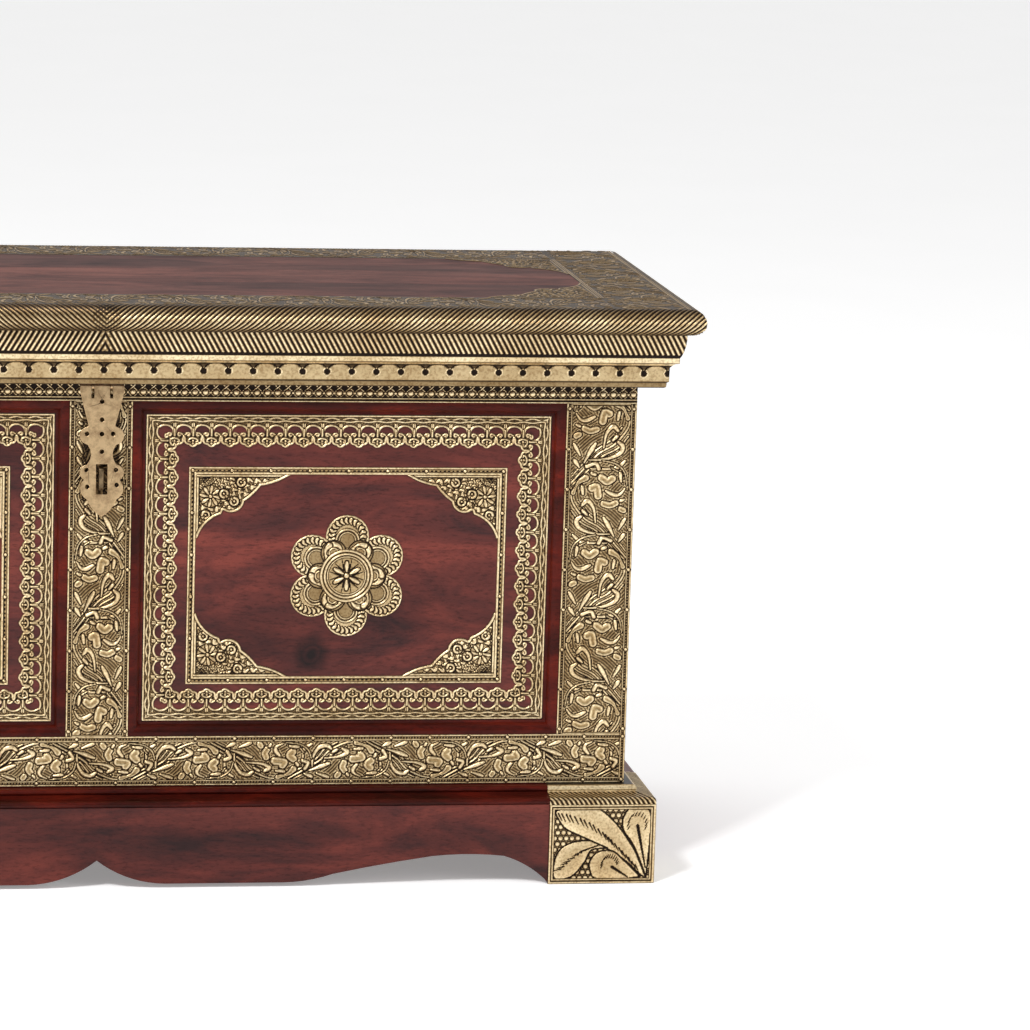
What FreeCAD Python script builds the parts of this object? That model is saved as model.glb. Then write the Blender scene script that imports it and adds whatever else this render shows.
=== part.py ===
import FreeCAD, Part
import math
import os

# Dowry chest: a framed front with two sunk panels, plank sides and back, a plinth on four corner feet and a
# hinged lid with a cornice. Embossed brass clads the front, a hasp on the lid drops over a staple.
# Lengths are in millimetres and angles in degrees. X runs along the front, Y from front to back, Z is up.
# The origin is on the floor under the middle of the chest.

# Whole chest
overall_width = 1206.0
overall_height = 600.0
body_depth = 425.0
cut_overrun = 3.0
board_gap = 0.2

# Lid
lid_overhang = 58.0
nose_radius = 13.3
rope_skin = 2.0
lid_rest_gap = 0.3
lid_border_width = 80.0
field_thickness = 16.0
field_ledge = 10.0
field_board_count = 3
batten_width = 60.0
batten_thickness = 18.0
batten_place_share = 0.55
lid_bracket_length = 117.0
lid_bracket_height = 120.0

# Cornice under the lid
cornice_height = 57.0
cornice_back_gap = 1.5
cornice_skin = 1.2
cornice_band_reach = 41.2
cornice_foot_reach = 22.4

# Brass sheet
sheet = 0.8
sheet_top_gap = 1.5
sheet_floor_gap = 0.5

# Body walls
side_thickness = 20.0
back_thickness = 18.0
floor_thickness = 14.0
floor_board_count = 6
bearer_width = 25.0
bearer_height = 20.0
side_seam_shares = (0.0, 0.174, 0.415, 0.657, 1.0)
back_seam_shares = (0.0, 0.25, 0.5, 0.75, 1.0)

# Front frame
frame_thickness = 40.0
corner_stile_width = 72.6
centre_stile_width = 63.4
top_rail_height = 76.9
bottom_rail_height = 68.1
tenon_thickness = 12.0
tenon_length = 30.0
tenon_shoulder = 12.0
tenon_setback = 25.0
mortise_end_gap = 1.0

# Sunk panels and their mouldings
panel_recess = 8.0
panel_thickness = 14.0
groove_depth = 10.0
panel_float = 1.0
moulding_width = 13.2
moulding_lip = 1.6
moulding_fillet = 2.2

# Brass on the panels
lace_margin = 0.8
lace_width = 34.0
lace_lobe_depth = 13.0
lace_pitch = 18.7
border_width = 8.0
border_side_gap = 9.8
border_top_gap = 19.5
border_bottom_gap = 4.0
bracket_length = 96.0
bracket_height = 66.0
rosette_reach_share = 0.183
rosette_tier = 0.8
rosette_petal_count = 6
rosette_turn_share = 0.5

# Plinth and feet
foot_height = 84.1
foot_width = 110.1
foot_depth = 110.0
plinth_reach = 28.6
apron_thickness = 22.0
apron_setback = 1.0
back_board_thickness = 18.0
back_board_height = 64.1

# Base moulding
base_height = 15.4
upper_bead_radius = 3.2
upper_bead_place = 7.5
lower_bead_radius = 3.25
hollow_low_share = 0.333
bead_end_angle = -60.0
clad_bead_end_angle = -35.0

# Butt hinges on the back
hinge_place = 350.0
hinge_width = 70.0
hinge_thickness = 2.0
knuckle_radius = 5.0
knuckle_count = 3
knuckle_gap = 0.3
hinge_pin_radius = 2.0
pin_clearance = 0.05
body_leaf_height = 38.0
lid_leaf_height = 21.0

# Hasp
hasp_width = 44.0
hasp_length = 130.5
hasp_thickness = 1.6
hasp_roll_radius = 3.2
hasp_pin_radius = 1.4
hasp_pin_drop = 4.6
hasp_back_gap = 0.6
hasp_lean = 6.5
hasp_slot_width = 11.5
hasp_slot_top = 77.6
hasp_slot_bottom = 108.1
hasp_finger_place = 9.3
hasp_finger_gap = 3.0
hasp_finger_depth = 11.7
hasp_hole_radius = 2.3
eye_thickness = 2.4
eye_shank_depth = 3.0
eye_shank_length = 18.0

# Staple
staple_width = 5.0
staple_thickness = 3.0
staple_height = 24.0
staple_reach = 13.2
staple_leg = 25.0
staple_bend = 4.0

# Lower edge of the front apron, from the foot to the middle: shares of the half span and of the foot's height
front_apron_shares = [
    (1.0, 0.025), ((0.962, 0.20), (0.90, 0.36)), ((0.83, 0.385), (0.74, 0.365)), ((0.63, 0.27), (0.52, 0.155)),
    ((0.47, 0.085), (0.41, 0.055)), (0.15, 0.055), ((0.068, 0.14), (0.0, 0.35)),
]
side_apron_shares = [(1.0, 0.025), ((0.84, 0.20), (0.60, 0.36)), ((0.30, 0.395), (0.0, 0.40))]

# Inner edge of a corner bracket: shares of its length and height, from its long tip to its short tip
bracket_shares = [
    (1.0, 0.0), ((0.86, 0.11), (0.68, 0.18)), ((0.61, 0.30), (0.51, 0.42)), ((0.41, 0.59), (0.285, 0.56)),
    (0.27, 0.62), ((0.12, 0.75), (0.02, 1.0)), (0.0, 1.0),
]

# Pointed lobes of the lace border: shares of their pitch along the border and of their depth
lace_lobe_shares = [(0.0, 0.0), (0.10, 0.58), (0.5, 1.0), (0.90, 0.58)]

# Circles of the rosette: radius and distance from its centre, as shares of its reach
rosette_petal_shares = (0.3524, 0.6476)
rosette_ring_shares = (0.4333, 0.0)
rosette_well_shares = (0.3333, 0.0)
rosette_boss_shares = (0.0635, 0.0)

# Right half of the hasp from its top corner to its tip: shares of its half width and of its length
hasp_shares = [
    (1.0, 0.0), (1.0, 0.04), ((0.81, 0.17), (0.60, 0.30)), (0.66, 0.31), ((1.0, 0.373), (0.66, 0.445)),
    ((0.50, 0.51), (0.68, 0.60)), ((1.0, 0.655), (0.80, 0.715)), ((0.97, 0.79), (0.68, 0.865)),
    ((0.42, 0.94), (0.0, 1.0)),
]
hasp_hole_shares = [
    (0.0, 0.115), (0.0, 0.255), (-0.68, 0.363), (0.0, 0.365), (0.5, 0.363), (0.0, 0.50),
    (-0.7, 0.64), (0.64, 0.64), (-0.66, 0.77), (0.68, 0.755),
]

# Section of the cornice: shares of the step between its two bands, and of its height, from the foot to the top
cornice_shares = [
    (0.11, 0.02), (0.13, 0.10), (0.23, 0.12), (0.25, 0.37), (0.38, 0.42), (0.49, 0.45), (0.70, 0.47), (0.70, 0.57),
    (0.76, 0.60), ((0.95, 0.78), (1.0, 1.0)),
]

# Reach of a quarter arc at its middle, as a share of its radius, and the turns that set out four equal sides
arc_middle = math.sqrt(0.5)
half_turn = 180.0
quarter_turn = 90.0

# Heights and places that follow from the sizes above
body_half = overall_width / 2 - lid_overhang
lid_bottom = overall_height - 2 * nose_radius
body_top = lid_bottom - lid_rest_gap
body_bottom = foot_height
base_top = foot_height + base_height
cornice_bottom = lid_bottom - cornice_height
hinge_reach = knuckle_gap + 2 * knuckle_radius
front_y = lid_overhang - (lid_overhang + body_depth + hinge_reach) / 2
back_y = front_y + body_depth
crease_reach = lid_overhang - nose_radius
recess_bottom = body_bottom + bottom_rail_height
recess_top = body_top - top_rail_height
recess_left = centre_stile_width / 2
recess_right = body_half - corner_stile_width
foot_outer = body_half + plinth_reach
foot_inner = foot_outer - foot_width
sheet_top = cornice_bottom - sheet_top_gap
field_half = body_half + crease_reach - lid_border_width
field_front = front_y - crease_reach + lid_border_width
field_back = back_y - lid_border_width
lid_wood_top = overall_height - sheet
field_under = lid_wood_top - field_thickness
panel_face = front_y + panel_recess


def vec(x, y, z):
    return FreeCAD.Vector(x, y, z)


def block(x_range, y_range, z_range):
    """Rectangular solid between the two ends of each range."""
    low = vec(x_range[0], y_range[0], z_range[0])
    size = [span[1] - span[0] for span in (x_range, y_range, z_range)]
    return Part.makeBox(size[0], size[1], size[2], low)


def rod(radius, start, run):
    """Round bar from a start point along a run."""
    return Part.makeCylinder(radius, run.Length, start, run)


def path_face(path, place):
    """Flat face inside a path of points. A step that holds two points is an arc through the first of them."""
    first = place(*path[0])
    here = first
    edges = []
    for step in path[1:]:
        if isinstance(step[0], tuple):
            there = place(*step[1])
            edges.append(Part.Arc(here, place(*step[0]), there).toShape())
        else:
            there = place(*step)
            edges.append(Part.makeLine(here, there))
        here = there
    if here.distanceToPoint(first) > 0:
        edges.append(Part.makeLine(here, first))
    return Part.Face(Part.Wire(edges))


def each_point(path, change):
    """Path with every point of its lines and arcs changed by a function."""
    return [tuple(change(p) for p in step) if isinstance(step[0], tuple) else change(step) for step in path]


def scaled(path, across, up):
    """Path of shares turned into lengths."""
    return each_point(path, lambda point: (point[0] * across, point[1] * up))


def both_halves(half):
    """Closed symmetric path from its right half, which ends on the centre line."""
    def flip(point):
        return (-point[0], point[1])
    ends = [step[1] if isinstance(step[0], tuple) else step for step in half]
    back = []
    for index in range(len(half) - 1, 0, -1):
        target = flip(ends[index - 1])
        step = half[index]
        back.append((flip(step[0]), target) if isinstance(step[0], tuple) else target)
    return half + back


def rectangle(x_range, z_range):
    return [(x_range[0], z_range[0]), (x_range[1], z_range[0]), (x_range[1], z_range[1]), (x_range[0], z_range[1])]


def upright_plate(path, y_range):
    """Plate parallel to the front, from an outline in X and Z."""
    face = path_face(path, lambda x, z: vec(x, y_range[0], z))
    return face.extrude(vec(0, y_range[1] - y_range[0], 0))


def mirror_x(shape):
    return shape.mirror(vec(0, 0, 0), vec(1, 0, 0))


def save(name, *solids):
    """One STEP file for a node of one or more separate solids."""
    shape = solids[0] if len(solids) == 1 else Part.makeCompound(list(solids))
    shape.exportStep("parts/" + name + ".step")


def save_pair(name, right):
    """The same piece on the right and, mirrored, on the left."""
    save(name + "_right", *right)
    save(name + "_left", *[mirror_x(piece) for piece in right])


def corner_wedge(side, inner, outer):
    """Room for the mouldings of one side, cut at 45 degrees through the front corners of the body."""
    near = (body_half - inner, front_y + inner)
    far = (body_half + outer, front_y - outer)
    if side == "front":
        corners = [(-near[0], near[1]), near, far, (-far[0], far[1])]
    else:
        corners = [near, far, (far[0], back_y), (near[0], back_y)]
    face = path_face(corners, lambda x, y: vec(x, y, -cut_overrun))
    return face.extrude(vec(0, 0, overall_height + 2 * cut_overrun))


def moulding(path, side, inner, outer):
    """Moulding along one side. The path gives reach from the body's face and height."""
    if side == "front":
        face = path_face(path, lambda reach, z: vec(-body_half - outer, front_y - reach, z))
        run = vec(2 * (body_half + outer), 0, 0)
    else:
        face = path_face(path, lambda reach, z: vec(body_half + reach, front_y - outer, z))
        run = vec(0, body_depth + outer, 0)
    return face.extrude(run).common(corner_wedge(side, inner, outer))


def on_circle(centre, radius, angle):
    """Point on a circle."""
    turned = math.radians(angle)
    return (centre[0] + radius * math.cos(turned), centre[1] + radius * math.sin(turned))


# Front frame: the rails run through to the sides, the stiles are tenoned between them
def stile_with_tenons(x_range):
    stile = block(x_range, (front_y, front_y + frame_thickness), (recess_bottom, recess_top))
    return stile.fuse(stile_tenon(x_range, 0))


def stile_tenon(x_range, end_gap):
    return block(
        (x_range[0] + tenon_shoulder, x_range[1] - tenon_shoulder),
        (front_y + tenon_setback, front_y + tenon_setback + tenon_thickness),
        (recess_bottom - tenon_length - end_gap, recess_top + tenon_length + end_gap))


def panel_slab(margin):
    """Panel of the right bay, reaching past its opening into the grooves."""
    return block(
        (recess_left - margin, recess_right + margin),
        (panel_face, panel_face + panel_thickness),
        (recess_bottom - margin, recess_top + margin))


def front_frame():
    corner_range = (recess_right, body_half)
    centre_range = (-recess_left, recess_left)
    groove = panel_slab(groove_depth)
    grooves = [groove, mirror_x(groove)]
    corner_stile = stile_with_tenons(corner_range).cut(groove)
    mortises = [stile_tenon(corner_range, mortise_end_gap), stile_tenon(centre_range, mortise_end_gap)]
    mortises.append(mirror_x(mortises[0]))
    frame_y = (front_y, front_y + frame_thickness)
    full_width = (-body_half, body_half)
    top_rail = block(full_width, frame_y, (recess_top, body_top))
    bottom_rail = block(full_width, frame_y, (body_bottom, recess_bottom))
    centre_stile = stile_with_tenons(centre_range).cut(staple_holes())
    for cutter in grooves + mortises:
        top_rail = top_rail.cut(cutter)
        bottom_rail = bottom_rail.cut(cutter)
    for cutter in grooves:
        centre_stile = centre_stile.cut(cutter)
    save_pair("front_stile", [corner_stile])
    save("centre_stile", centre_stile)
    save("front_top_rail", top_rail)
    save("front_bottom_rail", bottom_rail)
    save_pair("front_panel", [panel_slab(groove_depth - panel_float)])


def recess_mouldings():
    """Four mitred strips in the corner between the frame and the panel, round over at the frame."""
    centre_x = (recess_left + recess_right) / 2
    centre_z = (recess_bottom + recess_top) / 2
    half_width = (recess_right - recess_left) / 2
    half_height = (recess_top - recess_bottom) / 2
    round_reach = moulding_width - moulding_lip - moulding_fillet
    round_drop = panel_recess - moulding_lip
    profile = [
        (0, 0), (moulding_lip, 0),
        ((moulding_lip + round_reach * arc_middle, round_drop - round_drop * arc_middle),
         (moulding_lip + round_reach, round_drop)),
        (moulding_width, round_drop), (moulding_width, panel_recess), (0, panel_recess),
    ]

    def strip(half_length, half_across, turn):
        face = path_face(profile, lambda inward, back: vec(-half_length, front_y + back, half_across - inward))
        bar = face.extrude(vec(2 * half_length, 0, 0))
        mitred = [(-half_length, half_across), (half_length, half_across),
                  (half_length - moulding_width, half_across - moulding_width),
                  (moulding_width - half_length, half_across - moulding_width)]
        bar = bar.common(upright_plate(mitred, (front_y - cut_overrun, panel_face + cut_overrun)))
        bar.rotate(vec(0, 0, 0), vec(0, 1, 0), turn)
        bar.translate(vec(centre_x, 0, centre_z))
        return bar

    level = [strip(half_width, half_height, turn) for turn in (0, half_turn)]
    upright = [strip(half_height, half_width, turn) for turn in (quarter_turn, -quarter_turn)]
    save_pair("recess_moulding", level + upright)


# Walls and floor
def stacked_planks(x_range, y_range, seam_shares):
    height = body_top - body_bottom
    planks = []
    for low, high in zip(seam_shares, seam_shares[1:]):
        top = body_bottom + high * height
        if high < seam_shares[-1]:
            top = top - board_gap
        planks.append(block(x_range, y_range, (body_bottom + low * height, top)))
    return planks


def walls_and_floor():
    wall_y = (front_y + frame_thickness, back_y)
    inner_half = body_half - side_thickness
    inner_back = back_y - back_thickness
    save_pair("side_planks", stacked_planks((inner_half, body_half), wall_y, side_seam_shares))
    save("back_planks", *stacked_planks((-inner_half, inner_half), (inner_back, back_y), back_seam_shares))
    bearer_z = (body_bottom, body_bottom + bearer_height)
    save("floor_bearers",
         block((-inner_half, inner_half), (wall_y[0], wall_y[0] + bearer_width), bearer_z),
         block((-inner_half, inner_half), (inner_back - bearer_width, inner_back), bearer_z))
    pitch = 2 * inner_half / floor_board_count
    boards = []
    for index in range(floor_board_count):
        left = -inner_half + index * pitch
        right = left + pitch
        if index < floor_board_count - 1:
            right = right - board_gap
        boards.append(block((left, right), (wall_y[0], inner_back),
                            (bearer_z[1], bearer_z[1] + floor_thickness)))
    save("floor_boards", *boards)


# Plinth
def plinth():
    apron_front = front_y - plinth_reach + apron_setback
    front_path = [(foot_inner, foot_height)] + scaled(front_apron_shares, foot_inner, foot_height)
    save("plinth_apron_front", upright_plate(both_halves(front_path),
                                             (apron_front, apron_front + apron_thickness)))

    side_span = body_depth + plinth_reach - 2 * foot_depth
    side_middle = front_y - plinth_reach + foot_depth + side_span / 2
    side_path = [(side_span / 2, foot_height)] + scaled(side_apron_shares, side_span / 2, foot_height)
    outer_x = foot_outer - apron_setback
    side_face = path_face(both_halves(side_path), lambda y, z: vec(outer_x, side_middle + y, z))
    save_pair("plinth_apron", [side_face.extrude(vec(-apron_thickness, 0, 0))])

    save("plinth_back_board", block((-foot_inner, foot_inner), (back_y - back_board_thickness, back_y),
                                    (foot_height - back_board_height, foot_height)))
    foot_x = (foot_inner, foot_outer)
    front_foot_y = (front_y - plinth_reach, front_y - plinth_reach + foot_depth)
    save_pair("foot_block_front", [block(foot_x, front_foot_y, (0, foot_height))])
    rear_foot = block(foot_x, (back_y - foot_depth, back_y), (0, foot_height))
    save("foot_blocks_rear", rear_foot, mirror_x(rear_foot))


def base_path(skin, end_angle):
    """Section of the base moulding: a small bead, a hollow and a larger bead, grown by a brass skin."""
    upper_radius = upper_bead_radius + skin
    lower_radius = lower_bead_radius + skin
    upper_centre = (upper_bead_place, base_top - upper_bead_radius)
    lower_centre = (plinth_reach - lower_bead_radius, foot_height + lower_bead_radius)
    hollow_top = on_circle(upper_centre, upper_radius, end_angle)
    hollow_end = (lower_centre[0], lower_centre[1] + lower_radius)
    hollow_low = (hollow_top[0] + (hollow_end[0] - hollow_top[0]) * hollow_low_share,
                  hollow_end[1] + (hollow_top[1] - hollow_end[1]) * hollow_low_share)
    return [
        (0, foot_height), (0, base_top + skin), (upper_centre[0], base_top + skin),
        (on_circle(upper_centre, upper_radius, (quarter_turn + end_angle) / 2), hollow_top),
        (hollow_low, hollow_end),
        (on_circle(lower_centre, lower_radius, 0), (lower_centre[0], foot_height)),
    ]


def base_mouldings():
    reach = plinth_reach + cut_overrun
    plain = base_path(0, bead_end_angle)
    save("base_moulding_front", moulding(plain, "front", 0, reach))
    side = moulding(plain, "right", 0, reach)
    save_pair("base_moulding", [side])
    clad = base_path(sheet, clad_bead_end_angle)
    corner_room = block((foot_inner, foot_outer + sheet), (front_y - plinth_reach - sheet, front_y),
                        (foot_height, base_top + cut_overrun))
    side_room = block((body_half, foot_outer + sheet),
                      (front_y - plinth_reach - sheet, front_y - plinth_reach + foot_depth),
                      (foot_height, base_top + cut_overrun))
    front_skin = moulding(clad, "front", 0, reach).cut(moulding(plain, "front", 0, reach)).common(corner_room)
    side_skin = moulding(clad, "right", 0, reach).cut(side).common(side_room)
    save_pair("moulding_corner", [front_skin.fuse(side_skin)])


def foot_sheets():
    height = (sheet_floor_gap, foot_height)
    foot_front = front_y - plinth_reach
    front = block((foot_inner, foot_outer + sheet), (foot_front - sheet, foot_front), height)
    side = block((foot_outer, foot_outer + sheet), (foot_front - sheet, foot_front + foot_depth), height)
    save_pair("foot_sheet", [front.fuse(side)])


# Brass on the front frame
def frame_sheets():
    face_y = (front_y - sheet, front_y)
    save_pair("stile_sheet", [block((recess_right, body_half), face_y, (recess_bottom, recess_top))])
    centre = block((-recess_left, recess_left), face_y, (recess_bottom, recess_top))
    save("stile_sheet_centre", centre.cut(staple_holes()))
    save("bottom_rail_sheet", block((-body_half, body_half), face_y, (base_top + sheet, recess_bottom)))
    save("lattice_strip", block((-body_half, body_half), face_y, (recess_top, sheet_top)))


def lace_frame():
    """Outer and inner edge of the lace border of the right panel. Its inner edge is a row of pointed lobes."""
    margin = moulding_width + lace_margin
    return (recess_left + margin, recess_right - margin, recess_bottom + margin, recess_top - margin)


def lobed_edge(start, end, inward):
    """Row of pointed lobes from one corner to the next, with a plain run at both corners."""
    length = math.dist(start, end)
    along = ((end[0] - start[0]) / length, (end[1] - start[1]) / length)
    count = max(2, int(length / lace_pitch) - 1)
    corner_run = (length - count * lace_pitch) / 2

    def place(run, depth):
        return (start[0] + along[0] * run + inward[0] * depth, start[1] + along[1] * run + inward[1] * depth)

    steps = []
    for index in range(count):
        near = corner_run + index * lace_pitch
        steps += [place(near + run * lace_pitch, depth * lace_lobe_depth) for run, depth in lace_lobe_shares]
    return steps + [place(length - corner_run, 0), end]


def panel_brass():
    left, right, low, high = lace_frame()
    skin_y = (panel_face - sheet, panel_face)
    solid_width = lace_width - lace_lobe_depth
    inner = [(left + solid_width, low + solid_width), (right - solid_width, low + solid_width),
             (right - solid_width, high - solid_width), (left + solid_width, high - solid_width)]
    edge = [inner[0]]
    edge += lobed_edge(inner[0], inner[1], (0, 1))
    edge += lobed_edge(inner[1], inner[2], (-1, 0))
    edge += lobed_edge(inner[2], inner[3], (0, -1))
    edge += lobed_edge(inner[3], inner[0], (1, 0))[:-1]
    lace = upright_plate(rectangle((left, right), (low, high)), skin_y)
    lace = lace.cut(upright_plate(edge, (skin_y[0] - cut_overrun, skin_y[1] + cut_overrun)))
    save_pair("panel_lace", [lace])

    outer_x = (left + lace_width + border_side_gap, right - lace_width - border_side_gap)
    outer_z = (low + lace_width + border_bottom_gap, high - lace_width - border_top_gap)
    inner_x = (outer_x[0] + border_width, outer_x[1] - border_width)
    inner_z = (outer_z[0] + border_width, outer_z[1] - border_width)
    border = block(outer_x, skin_y, outer_z).cut(block(inner_x, (skin_y[0] - cut_overrun, skin_y[1]), inner_z))
    save_pair("inner_border", [border])

    brackets = []
    for corner_x, across in ((inner_x[0], 1), (inner_x[1], -1)):
        for corner_z, up in ((inner_z[0], 1), (inner_z[1], -1)):
            outline = [(0, 0)] + scaled(bracket_shares, bracket_length, bracket_height)
            face = path_face(outline, lambda x, z: vec(corner_x + across * x, skin_y[0], corner_z + up * z))
            brackets.append(face.extrude(vec(0, sheet, 0)))
    save("panel_brackets", *brackets, *[mirror_x(bracket) for bracket in brackets])
    centre = ((inner_x[0] + inner_x[1]) / 2, (inner_z[0] + inner_z[1]) / 2)
    save_pair("rosette", [rosette(centre, rosette_reach_share * (recess_top - recess_bottom))])


def rosette(centre, reach):
    """Six round petals and a raised ring round a sunk centre with a boss."""
    outward = vec(0, -1, 0)
    base = vec(centre[0], panel_face, centre[1])
    turn = 2 * half_turn / rosette_petal_count

    def disc(shares, angle, low, high):
        offset = on_circle((0, 0), shares[1] * reach, angle)
        return rod(shares[0] * reach, base + vec(offset[0], 0, offset[1]) + outward * low, outward * (high - low))

    shape = disc(rosette_ring_shares, 0, 0, 2 * rosette_tier)
    for index in range(rosette_petal_count):
        shape = shape.fuse(disc(rosette_petal_shares, (index + rosette_turn_share) * turn, 0, rosette_tier))
    well = disc(rosette_well_shares, 0, rosette_tier, 2 * rosette_tier)
    return shape.cut(well).fuse(disc(rosette_boss_shares, 0, 0, 2 * rosette_tier)).removeSplitter()


# Lid
def lid_cap():
    nose_centre = (crease_reach, lid_bottom + nose_radius)
    wood_radius = nose_radius - rope_skin
    inner_edge = crease_reach - lid_border_width
    ledge_edge = inner_edge - field_ledge
    path = [
        (ledge_edge, lid_bottom), (crease_reach, lid_bottom), (crease_reach, lid_bottom + rope_skin),
        ((crease_reach + wood_radius, nose_centre[1]), (crease_reach, overall_height - rope_skin)),
        (crease_reach, lid_wood_top), (inner_edge, lid_wood_top), (inner_edge, field_under),
        (ledge_edge, field_under),
    ]
    inner = -ledge_edge
    outer = lid_overhang + cut_overrun
    front_rail = moulding(path, "front", inner, outer)
    back_rail = block((-field_half, field_half), (field_back, back_y), (lid_bottom, lid_wood_top))
    back_ledge = block((-field_half + field_ledge, field_half - field_ledge),
                       (field_back - field_ledge, field_back), (lid_bottom, field_under))
    side_rail = moulding(path, "right", inner, outer).cut(back_rail)
    save("lid_frame_front", front_rail)
    save("lid_frame_back", back_rail.fuse(back_ledge))
    save_pair("lid_frame", [side_rail])

    board_depth = (field_back - field_front) / field_board_count
    boards = []
    for index in range(field_board_count):
        near = field_front + index * board_depth
        far = near + board_depth
        if index < field_board_count - 1:
            far = far - board_gap
        boards.append(block((-field_half, field_half), (near, far), (field_under, lid_wood_top)))
    save("lid_field_boards", *boards)

    batten_y = (field_front + field_ledge, field_back - field_ledge)
    batten_centre = batten_place_share * field_half
    batten = block((batten_centre - batten_width / 2, batten_centre + batten_width / 2), batten_y,
                   (field_under - batten_thickness, field_under))
    save("lid_battens", batten, mirror_x(batten))

    outer_ring = [(crease_reach, lid_bottom),
                  ((crease_reach + nose_radius, nose_centre[1]), (crease_reach, overall_height)),
                  (crease_reach, overall_height - rope_skin),
                  ((crease_reach + wood_radius, nose_centre[1]), (crease_reach, lid_bottom + rope_skin))]
    rope_side = moulding(outer_ring, "right", 0, outer)
    save("rope_edge", moulding(outer_ring, "front", 0, outer), rope_side, mirror_x(rope_side))


def lid_top_brass():
    top_z = (lid_wood_top, overall_height)
    side_strip = block((field_half, body_half + crease_reach), (front_y - crease_reach, back_y), top_z)
    save("lid_border_sheets",
         block((-field_half, field_half), (front_y - crease_reach, field_front), top_z),
         block((-field_half, field_half), (field_back, back_y), top_z), side_strip, mirror_x(side_strip))
    brackets = []
    outline = [(0, 0)] + scaled(bracket_shares, lid_bracket_length, lid_bracket_height)
    for across in (1, -1):
        for corner_y, inward in ((field_front, 1), (field_back, -1)):
            face = path_face(outline, lambda x, y: vec(across * (field_half - x), corner_y + inward * y,
                                                       lid_wood_top))
            brackets.append(face.extrude(vec(0, 0, sheet)))
    save("lid_brackets", *brackets)


def cornice_path(inset):
    """Section of the cornice from its back: fillet, scalloped band, step, plain band and round rope band."""
    foot = cornice_foot_reach - inset
    bands = scaled(cornice_shares, cornice_band_reach - cornice_foot_reach, cornice_height)
    front = each_point(bands, lambda point: (foot + point[0], cornice_bottom + point[1]))
    return [(cornice_back_gap, cornice_bottom), (foot, cornice_bottom)] + front + [(cornice_back_gap, lid_bottom)]


def cornice():
    outer = lid_overhang + cut_overrun
    wood_front = moulding(cornice_path(cornice_skin), "front", 0, outer)
    wood_side = moulding(cornice_path(cornice_skin), "right", 0, outer)
    skin_front = moulding(cornice_path(0), "front", 0, outer).cut(wood_front)
    skin_side = moulding(cornice_path(0), "right", 0, outer).cut(wood_side)
    for shank in eye_shanks():
        wood_front = wood_front.cut(shank)
    save("cornice_front", wood_front)
    save_pair("cornice", [wood_side])
    save("cornice_skin", skin_front, skin_side, mirror_x(skin_side))


# Hinges on the back
hinge_y = back_y + knuckle_gap + knuckle_radius
hinge_z = body_top + lid_rest_gap / 2


def knuckle_rod(centre_x, index, growth):
    """One knuckle of a hinge, or the room round it when it is grown by the running gap."""
    length = (hinge_width + knuckle_gap) / knuckle_count - knuckle_gap
    start_x = centre_x - hinge_width / 2 + index * (length + knuckle_gap) - growth
    return rod(knuckle_radius + growth, vec(start_x, hinge_y, hinge_z), vec(length + 2 * growth, 0, 0))


def hinge_leaves(centre_x):
    """Body leaf, lid leaf and pin of one butt hinge. The body leaf has the knuckles at both ends."""
    start_x = centre_x - hinge_width / 2
    leaf_x = (start_x, start_x + hinge_width)
    leaf_y = (back_y, back_y + hinge_thickness)
    body_leaf = block(leaf_x, leaf_y, (hinge_z - body_leaf_height, body_top))
    lid_leaf = block(leaf_x, leaf_y, (lid_bottom, hinge_z + lid_leaf_height))
    body_knuckles = range(0, knuckle_count, 2)
    lid_knuckles = range(1, knuckle_count, 2)
    for index in body_knuckles:
        lid_leaf = lid_leaf.cut(knuckle_rod(centre_x, index, knuckle_gap))
    for index in lid_knuckles:
        body_leaf = body_leaf.cut(knuckle_rod(centre_x, index, knuckle_gap))
    for index in body_knuckles:
        body_leaf = body_leaf.fuse(knuckle_rod(centre_x, index, 0))
    for index in lid_knuckles:
        lid_leaf = lid_leaf.fuse(knuckle_rod(centre_x, index, 0))
    bore = rod(hinge_pin_radius + pin_clearance, vec(start_x - cut_overrun, hinge_y, hinge_z),
               vec(hinge_width + 2 * cut_overrun, 0, 0))
    pin = rod(hinge_pin_radius, vec(start_x, hinge_y, hinge_z), vec(hinge_width, 0, 0))
    return body_leaf.cut(bore), lid_leaf.cut(bore), pin


def hinges():
    body_leaf, lid_leaf, pin = hinge_leaves(hinge_place)
    save("hinge_leaves_body", body_leaf, mirror_x(body_leaf))
    save("hinge_leaves_lid", lid_leaf, mirror_x(lid_leaf))
    save("hinge_pins", pin, mirror_x(pin))


# Hasp, its pin and eyes, and the staple
hasp_pin_y = front_y - sheet - hasp_back_gap - hasp_roll_radius
hasp_pin_z = cornice_bottom - hasp_pin_drop
staple_z = hasp_pin_z - (hasp_slot_top + hasp_slot_bottom) / 2


def eye_shanks():
    shanks = []
    for side in (-1, 1):
        centre = side * hasp_finger_place
        shanks.append(block((centre - eye_thickness / 2, centre + eye_thickness / 2),
                            (hasp_pin_y - eye_shank_depth / 2, hasp_pin_y + eye_shank_depth / 2),
                            (hasp_pin_z, cornice_bottom + eye_shank_length)))
    return shanks


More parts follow.
